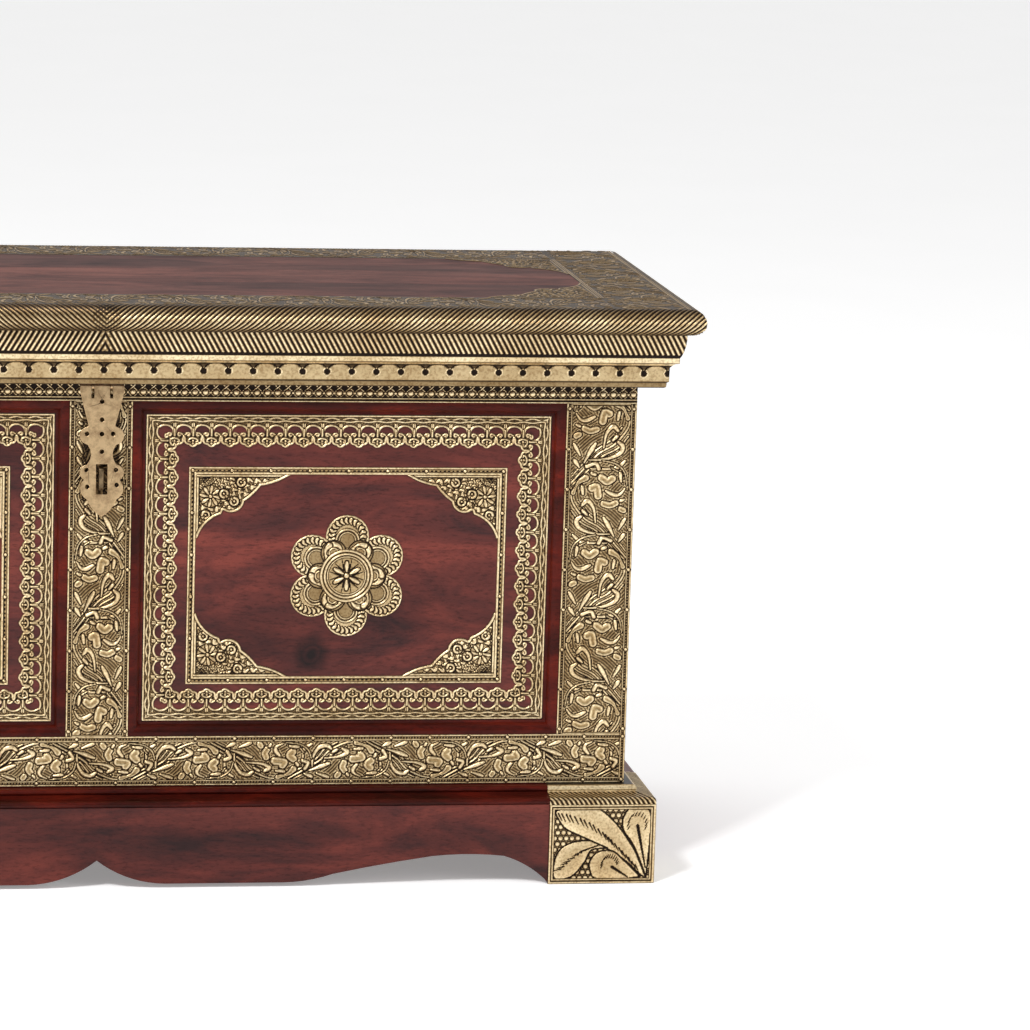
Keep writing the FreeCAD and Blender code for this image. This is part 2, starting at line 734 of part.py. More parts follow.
def hasp():
    plate_y = (hasp_pin_y - hasp_roll_radius, hasp_pin_y - hasp_roll_radius + hasp_thickness)
    outline = both_halves(scaled(hasp_shares, hasp_width / 2, hasp_length))
    face = path_face(outline, lambda x, drop: vec(x, plate_y[0], hasp_pin_z - drop))
    plate = face.extrude(vec(0, hasp_thickness, 0))
    axis_start = vec(-hasp_width / 2, hasp_pin_y, hasp_pin_z)
    width_run = vec(hasp_width, 0, 0)
    plate = plate.fuse(rod(hasp_roll_radius, axis_start, width_run))
    plate = plate.cut(block((-hasp_slot_width / 2, hasp_slot_width / 2),
                            (plate_y[0] - cut_overrun, plate_y[1] + cut_overrun),
                            (hasp_pin_z - hasp_slot_bottom, hasp_pin_z - hasp_slot_top)))
    through = vec(0, hasp_thickness + 2 * cut_overrun, 0)
    for side in (-1, 1):
        centre = side * hasp_finger_place
        plate = plate.cut(block((centre - hasp_finger_gap / 2, centre + hasp_finger_gap / 2),
                                (plate_y[0] - cut_overrun, hasp_pin_y + hasp_roll_radius + cut_overrun),
                                (hasp_pin_z - hasp_finger_depth, hasp_pin_z + hasp_roll_radius + cut_overrun)))
    for across, down in hasp_hole_shares:
        plate = plate.cut(rod(hasp_hole_radius, vec(across * hasp_width / 2, plate_y[0] - cut_overrun,
                                                    hasp_pin_z - down * hasp_length), through))
    plate = plate.cut(rod(hasp_pin_radius + pin_clearance, axis_start, width_run)).removeSplitter()
    plate.rotate(axis_start, vec(-1, 0, 0), hasp_lean)
    save("hasp_plate", plate)
    save("hasp_pin", rod(hasp_pin_radius, axis_start, width_run))
    eyes = []
    for side, shank in zip((-1, 1), eye_shanks()):
        edge_x = side * hasp_finger_place - eye_thickness / 2
        ring_start = vec(edge_x, hasp_pin_y, hasp_pin_z)
        ring = rod(hasp_roll_radius, ring_start, vec(eye_thickness, 0, 0)).fuse(shank)
        bore = rod(hasp_pin_radius + pin_clearance, ring_start, vec(eye_thickness, 0, 0))
        eyes.append(ring.cut(bore).removeSplitter())
    save("hasp_eyes", *eyes)


def staple_path():
    """Side view of the staple: distance in front of the stile, and height about its middle."""
    outer = staple_height / 2
    inner = outer - staple_thickness
    crown = staple_reach - staple_thickness
    inner_bend = staple_bend / 2
    outer_turn = staple_reach - staple_bend
    inner_turn = crown - inner_bend
    return [
        (-staple_leg, -outer), (outer_turn, -outer),
        ((outer_turn + staple_bend * arc_middle, staple_bend * (1 - arc_middle) - outer),
         (staple_reach, staple_bend - outer)),
        (staple_reach, outer - staple_bend),
        ((outer_turn + staple_bend * arc_middle, outer - staple_bend * (1 - arc_middle)), (outer_turn, outer)),
        (-staple_leg, outer), (-staple_leg, inner), (inner_turn, inner),
        ((inner_turn + inner_bend * arc_middle, inner - inner_bend * (1 - arc_middle)),
         (crown, inner - inner_bend)),
        (crown, inner_bend - inner),
        ((inner_turn + inner_bend * arc_middle, inner_bend * (1 - arc_middle) - inner), (inner_turn, -inner)),
        (-staple_leg, -inner),
    ]


def staple():
    face = path_face(staple_path(), lambda out, z: vec(-staple_width / 2, front_y - out, staple_z + z))
    save("hasp_staple", face.extrude(vec(staple_width, 0, 0)))


def staple_holes():
    """Holes that the two legs of the staple fill."""
    outer = staple_height / 2
    inner = outer - staple_thickness
    across = (-staple_width / 2, staple_width / 2)
    depth = (front_y - sheet, front_y + staple_leg)
    upper = block(across, depth, (staple_z + inner, staple_z + outer))
    return upper.fuse(block(across, depth, (staple_z - outer, staple_z - inner)))


os.makedirs("parts", exist_ok=True)
front_frame()
recess_mouldings()
walls_and_floor()
plinth()
base_mouldings()
foot_sheets()
frame_sheets()
panel_brass()
lid_cap()
lid_top_brass()
cornice()
hinges()
hasp()
staple()
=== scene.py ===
import math

import bpy
import numpy as np
from mathutils import Matrix, Vector


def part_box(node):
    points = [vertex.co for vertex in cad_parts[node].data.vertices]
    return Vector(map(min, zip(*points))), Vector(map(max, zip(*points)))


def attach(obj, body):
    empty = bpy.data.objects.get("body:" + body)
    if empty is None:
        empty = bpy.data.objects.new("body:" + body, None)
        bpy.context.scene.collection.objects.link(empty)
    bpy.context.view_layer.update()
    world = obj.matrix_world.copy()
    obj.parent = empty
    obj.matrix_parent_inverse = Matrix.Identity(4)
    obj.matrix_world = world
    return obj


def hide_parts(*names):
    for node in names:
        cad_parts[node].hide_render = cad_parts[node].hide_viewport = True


# Looks of a brass clad dowry chest. The frame gives every place in metres. The embossing is drawn in
# millimetres over each sheet, as a height and a darkness, and then laid on the sheet as a fine mesh.
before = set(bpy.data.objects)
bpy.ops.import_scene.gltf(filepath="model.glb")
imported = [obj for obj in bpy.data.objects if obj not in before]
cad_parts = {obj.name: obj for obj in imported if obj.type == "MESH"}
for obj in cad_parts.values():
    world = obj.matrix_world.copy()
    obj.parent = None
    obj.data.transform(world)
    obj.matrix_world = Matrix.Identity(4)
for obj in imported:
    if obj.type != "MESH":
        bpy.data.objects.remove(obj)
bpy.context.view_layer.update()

# Plane of the front frame in metres and in millimetres, and half the body's width
MM = 0.001
face_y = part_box("front_top_rail")[0].y
front_y = face_y / MM
body_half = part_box("front_top_rail")[1].x / MM

# Embossing, in millimetres
relief_step = 0.75
fine_step = 0.6
skirt_depth = 0.4
open_depth = 0.7
groove_width = 1.0
groove_floor = 0.1
ground_rise = 0.4
ground_dark = 0.6
rib_groove = 0.7
rib_groove_dark = 0.9
rib_shade = 0.6
leaf_rise = 2.0
leaf_shade = 0.8
leaf_belly = 0.65
leaf_taper = 0.55
hollow_width = 3.0
hollow_rim = 0.6
hollow_sink = 0.45
halo_width = 0.9
halo_dark = 0.12
flow_pitch = 2.7
flow_rise = 0.2
flow_dark = 0.28
patch_swell = 9.0
patch_line = 0.9
# Painted shade of the hasp on the brass behind it: how much darker, the inset from the hasp's sides, and the rise above
# the hasp's foot
hasp_shade_dark = 0.45
hasp_shade_margin = 3.0
hasp_shade_foot = 12.0

# Rows along the edges of the frame's sheets. Here and below, ribs and rings are given as place or radius, half
# width and rise
edge_band = 6.2
edge_ribs = ((0.9, 0.9, 1.0), (5.2, 0.7, 0.9))
edge_dark = 0.42
dash_pitch = 2.9
dash_row = 3.1
dash_half = 0.85
nail_pitch = 40.0
nail_radius = 1.7
nail_rise = 1.4
nail_groove = 0.7

# Running vine: a bay's length, and the place of one root at the right or the top. On a stile it is measured from
# the foot, on the rail from the middle
stile_bay = 77.0
stile_root = 29.0
rail_bay = 80.0
rail_root = -47.0
lid_bay = 74.0
lid_root = -26.0

# Lattice strip
lattice_pitch = 10.4
lattice_middle = 9.6
lattice_rib = 0.75
lattice_bead = 3.0
small_bead = 1.5
hatch_foot = 1.6
hatch_top = 4.2
hatch_pitch = 3.1
hatch_slope = 0.7
lattice_edges = ((0.9, 0.9, 0.9), (hatch_top, 0.6, 0.9))

# Lace border: depths are from its outer edge, and s is measured from the tip of a lobe
lace_width = 34.0
lace_lobe_depth = 13.0
lace_pitch = 18.7
lace_hatch = 2.4
lace_hatch_slope = 0.8
lace_waves = ((4.1, 0.9), (6.9, -0.6))
lace_ribs = ((1.0, 1.0, 1.2),)
arch_depth = 18.6
arch_half = 8.5
arch_rise = 7.6
arch_strap = 1.1
arch_depths = (9.5, 19.1)
tie_depths = (9.0, 13.0)
post_depths = (14.5, 29.0)
strap_rise = 1.5
lobe_bead_depth = 30.0
lobe_holes = ((2.4, 22.4, 1.2), (2.5, 26.6, 1.1), (6.4, 24.2, 1.0), (6.4, 27.2, 0.9))
lobe_outline = (
    (0.0, 32.8), (2.0, 32.2), (3.9, 30.4), (6.0, 30.0), (7.7, 28.8), (8.3, 26.8), (8.2, 25.0), (9.35, 22.6))
lobe_curl = ((9.35, 22.6), (7.8, 20.6), (6.0, 19.2), (4.3, 19.0), (3.4, 20.4), (4.4, 21.9), (5.6, 21.6))
lobe_arrow = ((0.0, 24.2), (2.2, 24.8), (4.4, 26.2), (4.6, 28.0), (3.0, 28.4))
lobe_straps = ((lobe_arrow, 0.9), (lobe_curl, 0.95), (lobe_outline, 1.15))

# Inner border and brackets
border_width = 8.0
border_rise = 0.7
border_dark = 0.3
border_ribs = ((1.0, 1.0, 1.1), (6.7, 1.3, 1.2))
dot_pitch = 4.4
bracket_length = 96.0
bracket_height = 66.0
lid_bracket_length = 117.0
lid_bracket_height = 120.0
bracket_dark = 0.42
bracket_ribs = ((1.2, 1.2, 1.2),)
bracket_rim = ((1.7, 1.3, 1.6),)
flower_radius = 11.0
flower_petal = (3.2, 10.0)
curl_radius = 3.6

# Rosette: radii and places from its centre or from a petal's centre
petal_radius = 22.2
petal_rings = ((20.9, 1.3, 1.4),)
petal_place = 40.8
petal_leaves = (13.2, 16.0, 18.6)
eye_radius = 11.0
eye_shift = 4.5
eye_rings = ((11.5, 0.9, 1.3), (8.4, 0.6, 0.8))
crescent_place = 27.5
crescent_radius = 8.6
crescent_disc = 12.4
crescent_rings = ((4.6, 0.7, 1.2),)
disc_radius = 27.3
disc_rings = ((26.0, 1.4, 1.9), (22.4, 1.2, 1.8), (19.6, 0.6, 0.6))
star_line = (3.6, 8.5, 14.0)
star_tick = (6.0, 17.5)

# Rope twist of the lid's nose, of the cornice and of the base moulding
rope_step = 0.8
nose_pitch = 5.7
nose_twist = 14.0
nose_depth = 1.6
band_pitch = 5.5
band_slope = 0.55
band_depth = 1.1
base_pitch = 5.0
base_slope = 0.6
base_depth = 0.7
cross_half = 16.0
cross_share = 0.4
scallop_pitch = 24.8
scallop_hole = 3.3
scallop_rim = 1.1
scallop_line = 1.0
scallop_rise = 8.6
scallop_sink = -0.7

# Levels on the cornice's skin, as shares of its height, and its lines of painted shade under the steps of its section,
# from one level to another with a tone
rope_levels = (0.62, 0.985)
# Painted shade under the rope band starts at this level
rope_shade_level = 0.565
plain_level = 0.42
fillet_level = 0.11
scallop_levels = (0.13, 0.41)
hole_level = 0.265
cornice_shade_lines = ((0.10, 0.122, 0.75), (0.0, 0.02, 0.9), (0.392, 0.418, 1.0), (0.462, 0.478, 0.8))

# Section of the cornice: shares of the step between its two bands and of its height, from the foot to the top
cornice_shares = [
    (0.0, 0.0), (0.11, 0.02), (0.13, 0.10), (0.23, 0.12), (0.25, 0.37), (0.38, 0.42), (0.49, 0.45),
    (0.70, 0.47), (0.70, 0.57), (0.76, 0.60),
]
cornice_round_shares = ((0.95, 0.78), (1.0, 1.0))
cornice_step = 18.8
cornice_skin_edge = 1.2

# Section of the base moulding under its brass
base_bead = 4.0
base_bead_place = 7.5
base_lower_bead = 4.05
base_lower_drop = 0.8
base_bead_end = -35.0
base_hollow_share = 0.333
base_rope_share = 1.15
# Place of the painted highlight on the bead, as a share of its radius forward of its centre
base_highlight_share = 0.85

# Inner edge of a corner bracket: shares of its length and height, from its long tip to its short tip
bracket_shares = [
    (1.0, 0.0), ((0.86, 0.11), (0.68, 0.18)), ((0.61, 0.30), (0.51, 0.42)), ((0.41, 0.59), (0.285, 0.56)),
    (0.27, 0.62), ((0.12, 0.75), (0.02, 1.0)), (0.0, 1.0),
]
bracket_leaf_shares = (0.12, 0.22, 0.33, 0.44, 0.55, 0.67, 0.78, 0.89)
bracket_curl_shares = ((0.47, 0.12), (0.29, 0.30), (0.10, 0.63), (0.40, 0.42))
bracket_flower_share = (0.15, 0.34)

# One bay of the vine, rooted at the left: its stem, and its leaves with their half widths, as shares of its width
# and length
vine_stem_shares = ((0.02, 0.0), (0.20, 0.20), (0.48, 0.43), (0.74, 0.55), (0.95, 0.76))
vine_shares = [
    ([(0.03, 1.00), (0.08, 1.18), (0.24, 1.29), (0.46, 1.33)], (0.5, 0.8)),
    ([(0.10, 1.02), (0.16, 1.16), (0.30, 1.23)], (0.5, 0.7)),
    ([(0.00, 0.02), (0.20, 0.20), (0.48, 0.43), (0.74, 0.55), (0.95, 0.76), (0.99, 0.92)], (0.8, 1.0)),
    ([(0.00, 0.10), (0.18, 0.27), (0.44, 0.48), (0.66, 0.60), (0.86, 0.78)], (0.6, 0.8)),
    ([(0.03, 0.00), (0.26, 0.17), (0.52, 0.38), (0.80, 0.50), (0.97, 0.66)], (0.6, 0.8)),
    ([(0.30, 0.34), (0.58, 0.35), (0.82, 0.42), (0.88, 0.52), (0.80, 0.58)], (0.7, 2.5)),
    ([(0.34, 0.22), (0.62, 0.22), (0.80, 0.24), (0.93, 0.33)], (0.6, 2.1)),
    ([(0.55, 0.50), (0.59, 0.69), (0.70, 0.79), (0.79, 0.73)], (0.8, 2.5)),
    ([(0.70, 0.60), (0.78, 0.66)], (1.2, 1.8)),
    ([(0.22, 0.30), (0.30, 0.42), (0.41, 0.56)], (0.6, 2.5)),
    ([(0.15, 0.40), (0.04, 0.55)], (1.0, 2.1)),
    ([(0.14, 0.24), (0.05, 0.34)], (0.9, 2.4)),
    ([(0.07, 0.66), (0.12, 0.68)], (3.0, 3.1)),
    ([(0.21, 0.76), (0.31, 0.73), (0.42, 0.75)], (3.3, 3.5)),
    ([(0.06, 0.96), (0.14, 0.88), (0.25, 0.87), (0.38, 0.92)], (0.8, 2.3)),
    ([(0.07, 0.81), (0.13, 0.79)], (1.2, 1.9)),
    ([(0.52, 0.86), (0.55, 0.98), (0.63, 0.96)], (4.3, 3.7)),
    ([(0.28, 1.09), (0.37, 1.05), (0.47, 1.10)], (3.9, 4.1)),
    ([(0.13, 1.05), (0.15, 1.16)], (1.2, 2.1)),
    ([(0.74, 1.10), (0.87, 1.03), (0.95, 0.90)], (3.5, 1.2)),
    ([(0.78, 0.88), (0.80, 0.98)], (1.4, 2.0)),
    ([(0.52, 1.22), (0.58, 1.29), (0.73, 1.25)], (2.2, 1.8)),
    ([(0.58, 1.14), (0.64, 1.16)], (1.6, 1.9)),
]


# Drawing of the embossing
def smooth_line(points, per_span=5):
    """Rounded line through the points."""
    points = np.asarray(points, float)
    if len(points) < 3:
        return points
    padded = np.vstack([2 * points[0] - points[1], points, 2 * points[-1] - points[-2]])
    line = []
    for before, start, end, after in zip(padded, padded[1:], padded[2:], padded[3:]):
        for share in np.arange(per_span) / per_span:
            line.append(0.5 * (2 * start + (end - before) * share
                               + (2 * before - 5 * start + 4 * end - after) * share ** 2
                               + (3 * start - before - 3 * end + after) * share ** 3))
    return np.vstack([line, points[-1]])


def to_line(u, v, line):
    """Distance of every point from a line, and how far along it the nearest place is, as a share."""
    nearest = np.full(u.shape, np.inf)
    share = np.zeros(u.shape)
    spans = max(1, len(line) - 1)
    for index in range(spans):
        start = line[index]
        run = line[min(index + 1, len(line) - 1)] - start
        along = np.clip(((u - start[0]) * run[0] + (v - start[1]) * run[1]) / (run @ run + 1e-12), 0, 1)
        distance = np.hypot(u - start[0] - along * run[0], v - start[1] - along * run[1])
        closer = distance < nearest
        nearest = np.where(closer, distance, nearest)
        share = np.where(closer, (index + along) / spans, share)
    return nearest, share


def within(u, v, line):
    """Distance from a line, negative for the points that the line doesn't enclose on their right."""
    crossings = np.zeros(u.shape, int)
    for start, end in zip(line, line[1:]):
        spans = (start[1] <= v) != (end[1] <= v)
        slope = (end[0] - start[0]) / (end[1] - start[1] + 1e-12)
        crossings += spans & (u < start[0] + (v - start[1]) * slope)
    distance = to_line(u, v, line)[0]
    return np.where(crossings % 2 == 1, distance, -distance)


def from_edge(relief):
    """Distance from the nearest edge of a sheet, and the distance along that edge from its middle."""
    beside = np.minimum(relief.u, relief.width - relief.u)
    above = np.minimum(relief.v, relief.height - relief.v)
    along = np.where(beside < above, relief.v - relief.height / 2, relief.u - relief.width / 2)
    return np.minimum(beside, above), along, beside < above


class Relief:
    """Height and darkness of embossed brass over a flat sheet, in millimetres from its lower left corner."""

    def __init__(self, width, height, step=relief_step, rise=ground_rise, dark=ground_dark):
        columns = np.linspace(0, width, max(3, round(width / step) + 1))
        rows = np.linspace(0, height, max(3, round(height / step) + 1))
        self.u, self.v = np.meshgrid(np.pad(columns, 1, mode="edge"), np.pad(rows, 1, mode="edge"))
        self.width, self.height = width, height
        self.rise = np.full(self.u.shape, float(rise))
        self.dark = np.full(self.u.shape, float(dark))

    def paint(self, where, rise, dark):
        self.rise = np.where(where, rise, self.rise)
        self.dark = np.where(where, dark, self.dark)

    def flow(self, line):
        """Fine engraved lines over the whole ground, which run beside a stem."""
        wave = np.cos(2 * math.pi * to_line(self.u, self.v, line)[0] / flow_pitch)
        self.rise += flow_rise * wave
        self.dark = np.clip(self.dark - flow_dark * wave, 0, 1)

    def ridge(self, off, half, rise, where=True):
        """Rounded rib between dark grooves, at a distance from its middle."""
        crown = np.sqrt(np.clip(1 - (off / half) ** 2, 0, 1))
        beside = (off >= half) & (off < half + rib_groove) & where
        self.paint(beside, np.minimum(self.rise, ground_rise), np.maximum(self.dark, rib_groove_dark))
        self.paint((off < half) & where, groove_floor + rise * crown, rib_shade * (1 - crown))

    def ribs(self, off, ribs):
        """Ribs along an edge or round a place, from the distances off it."""
        for place, half, rise in ribs:
            self.ridge(np.abs(off - place), half, rise)

    def at(self, shares):
        """Places at shares of the width and the height."""
        return np.array(shares) * (self.width, self.height)

    def cut(self, where, rise=groove_floor):
        """Dark hollow."""
        self.paint(where, rise, 1.0)

    def stroke(self, points, widths, rise=leaf_rise, groove=groove_width, halo=0.0):
        """Raised leaf along a line, with a dark groove and a thin rib round it. A wide leaf has a hollow middle."""
        line = smooth_line(points)
        margin = max(widths) + groove + halo
        low, high = line.min(axis=0) - margin, line.max(axis=0) + margin
        columns = np.searchsorted(self.u[0], (low[0], high[0]))
        rows = np.searchsorted(self.v[:, 0], (low[1], high[1]))
        window = np.s_[rows[0]:rows[1], columns[0]:columns[1]]
        u, v = self.u[window], self.v[window]
        if u.size == 0:
            return
        distance, share = to_line(u, v, line)
        past_belly = np.clip((share - leaf_belly) / (1 - leaf_belly), 0, 1)
        swell = np.minimum(share / leaf_belly, 1) * (1 - leaf_taper * past_belly ** 2)
        reach = widths[0] + (widths[1] - widths[0]) * swell
        part = distance / reach
        crown = np.sqrt(np.clip(1 - part ** 2, 0, 1))
        dark = leaf_shade * (1 - crown) ** 1.4
        if max(widths) > hollow_width:
            past_rim = np.maximum(part - hollow_rim, 0) / (1 - hollow_rim)
            hollow = np.clip(1 - (part / hollow_rim) ** 2, 0, 1)
            crown = np.sqrt(np.clip(1 - past_rim ** 2, 0, 1)) - hollow_sink * hollow
            dark = np.clip(leaf_shade * (1 - crown), 0, 1)
        inside = part < 1
        ring = (distance < reach + groove) & ~inside
        bare = (self.rise[window] < 2 * ground_rise) & (self.dark[window] < 0.85)
        rib = (distance < reach + groove + halo) & bare
        self.rise[window] = np.where(rib, 2 * ground_rise, self.rise[window])
        self.dark[window] = np.where(rib, halo_dark, self.dark[window])
        floor = np.minimum(self.rise[window], groove_floor)
        height = groove_floor + (rise - groove_floor) * np.clip(crown, 0, 1)
        self.rise[window] = np.where(inside, height, np.where(ring, floor, self.rise[window]))
        self.dark[window] = np.where(inside, dark, np.where(ring, 1.0, self.dark[window]))

    def dome(self, centre, radius, rise, groove=groove_width):
        self.stroke([centre, centre], (radius, radius), rise, groove)

    def patch(self, outline, rise):
        """Smooth leaf that fills an outline, with an engraved line round it."""
        line = smooth_line(outline)
        depth = within(self.u, self.v, np.vstack([line, line[0]]))
        swell = np.clip(depth / patch_swell, 0, 1)
        self.paint(depth > patch_line / 2, groove_floor + rise * (0.55 + 0.45 * swell), 0.02 + 0.14 * swell)
        self.cut(np.abs(depth) < patch_line)

    def tick(self, start, end, half=0.8):
        """Short engraved line."""
        distance, share = to_line(self.u, self.v, np.array([start, end], float))
        self.cut(distance < half * (1.1 - 0.6 * share), groove_floor + ground_rise)

    def edge_rows(self, across, along):
        """Rib, row of dark dashes and thin rib at a distance across from an edge."""
        band = across < edge_band
        self.paint(band, ground_rise + 0.2, edge_dark)
        self.cut(band & (np.abs(across - dash_row) < dash_half) & (np.mod(along, dash_pitch) < dash_pitch / 2))
        self.ribs(across, edge_ribs)

    def nails(self, start, end):
        """Round nail heads in a row."""
        start, end = np.array(start, float), np.array(end, float)
        count = max(1, round(np.linalg.norm(end - start) / nail_pitch))
        for index in range(count + 1):
            self.dome(start + (end - start) * index / count, nail_radius, nail_rise, nail_groove)

    def vine(self, low, high, upright, bay_length, root):
        """Running vine: bays rooted at either side in turn, along the longer way of a field."""
        across, length = (high[0] - low[0], high[1] - low[1]) if upright else (high[1] - low[1], high[0] - low[0])

        def place(bay, share_across, share_along):
            side = (share_across if bay % 2 else 1 - share_across) * across
            along = np.mod(root, 2 * bay_length) + (bay + share_along) * bay_length
            return (low[0] + side, low[1] + along) if upright else (low[0] + along, low[1] + side)

        bays = range(-3, math.ceil(length / bay_length) + 1)
        self.flow(smooth_line([place(bay, *share) for bay in bays for share in vine_stem_shares], 4))
        for bay in reversed(bays):
            for points, widths in vine_shares:
                self.stroke([place(bay, *share) for share in points], widths, halo=halo_width)


def mesh_piece(name, part, material, body, nodes):
    """Object with a smooth mesh and its darkness, which rides on a body and stands for nodes."""
    points, quads, dark = part
    used, corners = np.unique(quads.ravel(), return_inverse=True)
    points, dark = points[used], dark[used]
    mesh = bpy.data.meshes.new(name)
    mesh.vertices.add(len(points))
    mesh.vertices.foreach_set("co", points.astype(np.float32).ravel())
    mesh.loops.add(corners.size)
    mesh.loops.foreach_set("vertex_index", corners.astype(np.int32).ravel())
    mesh.polygons.add(len(quads))
    mesh.polygons.foreach_set("loop_start", np.arange(0, corners.size, 4, dtype=np.int32))
    mesh.polygons.foreach_set("use_smooth", np.ones(len(quads), bool))
    mesh.update(calc_edges=True)
    mesh.attributes.new("dark", "FLOAT", "POINT").data.foreach_set("value", dark.astype(np.float32).ravel())
    mesh.materials.append(material)
    piece = bpy.data.objects.new(name, mesh)
    bpy.context.scene.collection.objects.link(piece)
    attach(piece, body)
    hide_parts(*nodes)


def grid_quads(rows, columns, flip):
    index = np.arange(rows * columns).reshape(rows, columns)
    corners = [index[:-1, :-1], index[:-1, 1:], index[1:, 1:], index[1:, :-1]]
    if flip:
        corners.reverse()
    return np.stack(corners, axis=-1).reshape(-1, 4)


def laid(relief, place, flip):
    """Points, faces and darkness of a relief that is laid on its sheet. Its rim turns down to what carries it."""
    rise = relief.rise.copy()
    for rim in (np.s_[0, :], np.s_[-1, :], np.s_[:, 0], np.s_[:, -1]):
        rise[rim] = np.minimum(rise[rim], -skirt_depth)
    points = np.stack(place(relief.u * MM, relief.v * MM, rise * MM), axis=-1).reshape(-1, 3)
    quads = grid_quads(*relief.u.shape, flip)
    shown = (rise.ravel()[quads] > -skirt_depth).any(axis=1)
    return points, quads[shown], relief.dark.ravel()


def joined(parts):
    """Several laid reliefs as one mesh."""
    points, quads, dark, first = [], [], [], 0
    for part in parts:
        points.append(part[0])
        quads.append(part[1] + first)
        dark.append(part[2])
        first += len(part[0])
    return np.vstack(points), np.vstack(quads), np.concatenate(dark)


def both_sides(part):
    """A part of the right half together with its mirror image on the left."""
    points, quads, dark = part
    return joined([part, (points * (-1, 1, 1), quads[:, ::-1], dark)])


def on_front(x, y, z):
    """Place on a front: across grows from x, up grows from z, and the relief comes forward from y."""
    return lambda u, v, h: (x + u, y - h, z + v)


def on_top(x, y, z, across=1, back=1):
    """Place on the lid: across grows from x, back grows from y, and the relief rises from z."""
    return lambda u, v, h: (x + across * u, y + back * v, z + h)


def on_side(x, y, z):
    """Place on the right side: along the depth from y, up from z, and the relief comes out from x."""
    return lambda u, v, h: (x + h, y + u, z + v)


def size_mm(node):
    """Lowest corner of a node in metres, and its width, depth and height in millimetres."""
    low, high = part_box(node)
    return low, (high - low) / MM


# Materials
WHITE = (1.0, 1.0, 1.0)
GRAIN = {"x": (0.28, 1.0, 1.0), "y": (1.0, 0.28, 1.0), "z": (1.0, 1.0, 0.28)}
knot_place = (0.226, -0.173, 0.243)
knot_bend = 0.016
knot_reach = 0.022
knot_stops = ((0.15, (0.10, 0.11, 0.14)), (0.32, (0.40, 0.41, 0.45)), (0.46, (0.22, 0.24, 0.28)), (1.0, WHITE))


def new_material(name):
    material = bpy.data.materials.new(name)
    material.use_nodes = True
    return material, material.node_tree, material.node_tree.nodes["Principled BSDF"]


def fill(node, **values):
    """Settings and inputs of a node. A value that is another node's output is linked."""
    for key, value in values.items():
        if hasattr(node, key):
            setattr(node, key, value)
        elif isinstance(value, bpy.types.NodeSocket):
            node.id_data.links.new(value, node.inputs[key.replace("_", " ")])
        else:
            node.inputs[key.replace("_", " ")].default_value = value
    return node


def add_node(tree, kind, **values):
    return fill(tree.nodes.new(kind), **values)


def coordinates(tree, scale=(1.0, 1.0, 1.0)):
    source = add_node(tree, "ShaderNodeTexCoord")
    return add_node(tree, "ShaderNodeMapping", Scale=scale, Vector=source.outputs["Object"]).outputs["Vector"]


def noise(tree, where, scale, output="Fac", **values):
    return add_node(tree, "ShaderNodeTexNoise", Scale=scale, Vector=where, **values).outputs[output]


def ramp(tree, factor, *stops):
    """Colours over a factor. Each stop is a place and a colour."""
    node = add_node(tree, "ShaderNodeValToRGB", Fac=factor)
    elements = node.color_ramp.elements
    while len(elements) < len(stops):
        elements.new(1.0)
    for element, (place, colour) in zip(elements, stops):
        element.position = place
        element.color = (*colour, 1.0)
    return node.outputs["Color"]


def times(tree, colour, *layers):
    """Colour multiplied with layers. Each layer is the share it is mixed in by and a colour."""
    for share, layer in layers:
        node = add_node(tree, "ShaderNodeMix", data_type="RGBA", blend_type="MULTIPLY", Factor=share)
        first, second = (socket for socket in node.inputs if socket.type == "RGBA")
        tree.links.new(colour, first)
        tree.links.new(layer, second)
        colour = [socket for socket in node.outputs if socket.type == "RGBA"][0]
    return colour


def ranged(tree, value, low, high, start=0.0, end=1.0):
    """Value from the start to the end brought to a new range."""
    node = add_node(tree, "ShaderNodeMapRange", From_Min=start, From_Max=end, To_Min=low, To_Max=high, Value=value)
    return node.outputs["Result"]


def bumps(tree, height, strength, distance):
    return add_node(tree, "ShaderNodeBump", Strength=strength, Distance=distance, Height=height).outputs["Normal"]


def relief_brass(name, roughness, *tones):
    """Embossed brass: polished on the high places, brown where the hammering left hollows."""
    material, tree, shader = new_material(name)
    dark = add_node(tree, "ShaderNodeAttribute", attribute_name="dark").outputs["Fac"]
    cloud = noise(tree, coordinates(tree), 24.0, Detail=4.0)
    grime = noise(tree, coordinates(tree), 420.0, Detail=5.0)
    colour = times(tree, ramp(tree, dark, *zip((0.0, 0.30, 0.60, 0.92), tones)),
                   (0.75, ramp(tree, cloud, (0.32, (0.66, 0.58, 0.48)), (0.62, WHITE))),
                   (0.6, ramp(tree, grime, (0.36, (0.45, 0.35, 0.25)), (0.55, WHITE))))
    fill(shader, Base_Color=colour, Roughness=ranged(tree, grime, roughness - 0.1, roughness + 0.2),
         Metallic=ranged(tree, dark, 1.0, 0.55), Specular_IOR_Level=0.15, Normal=bumps(tree, grime, 0.25, 0.0006))
    return material


def plain_brass(name, colour, stain, roughness):
    """Flat worn brass with scratches and stains."""
    material, tree, shader = new_material(name)
    cloud = noise(tree, coordinates(tree), 85.0, Detail=6.0, Roughness=0.75)
    scratch = noise(tree, coordinates(tree, (1.0, 1.0, 0.12)), 600.0, Detail=3.0)
    fill(shader, Base_Color=ramp(tree, cloud, (0.36, stain), (0.57, colour)), Metallic=1.0,
         Roughness=ranged(tree, cloud, roughness + 0.15, roughness - 0.1), Normal=bumps(tree, scratch, 0.15, 0.0004))
    return material


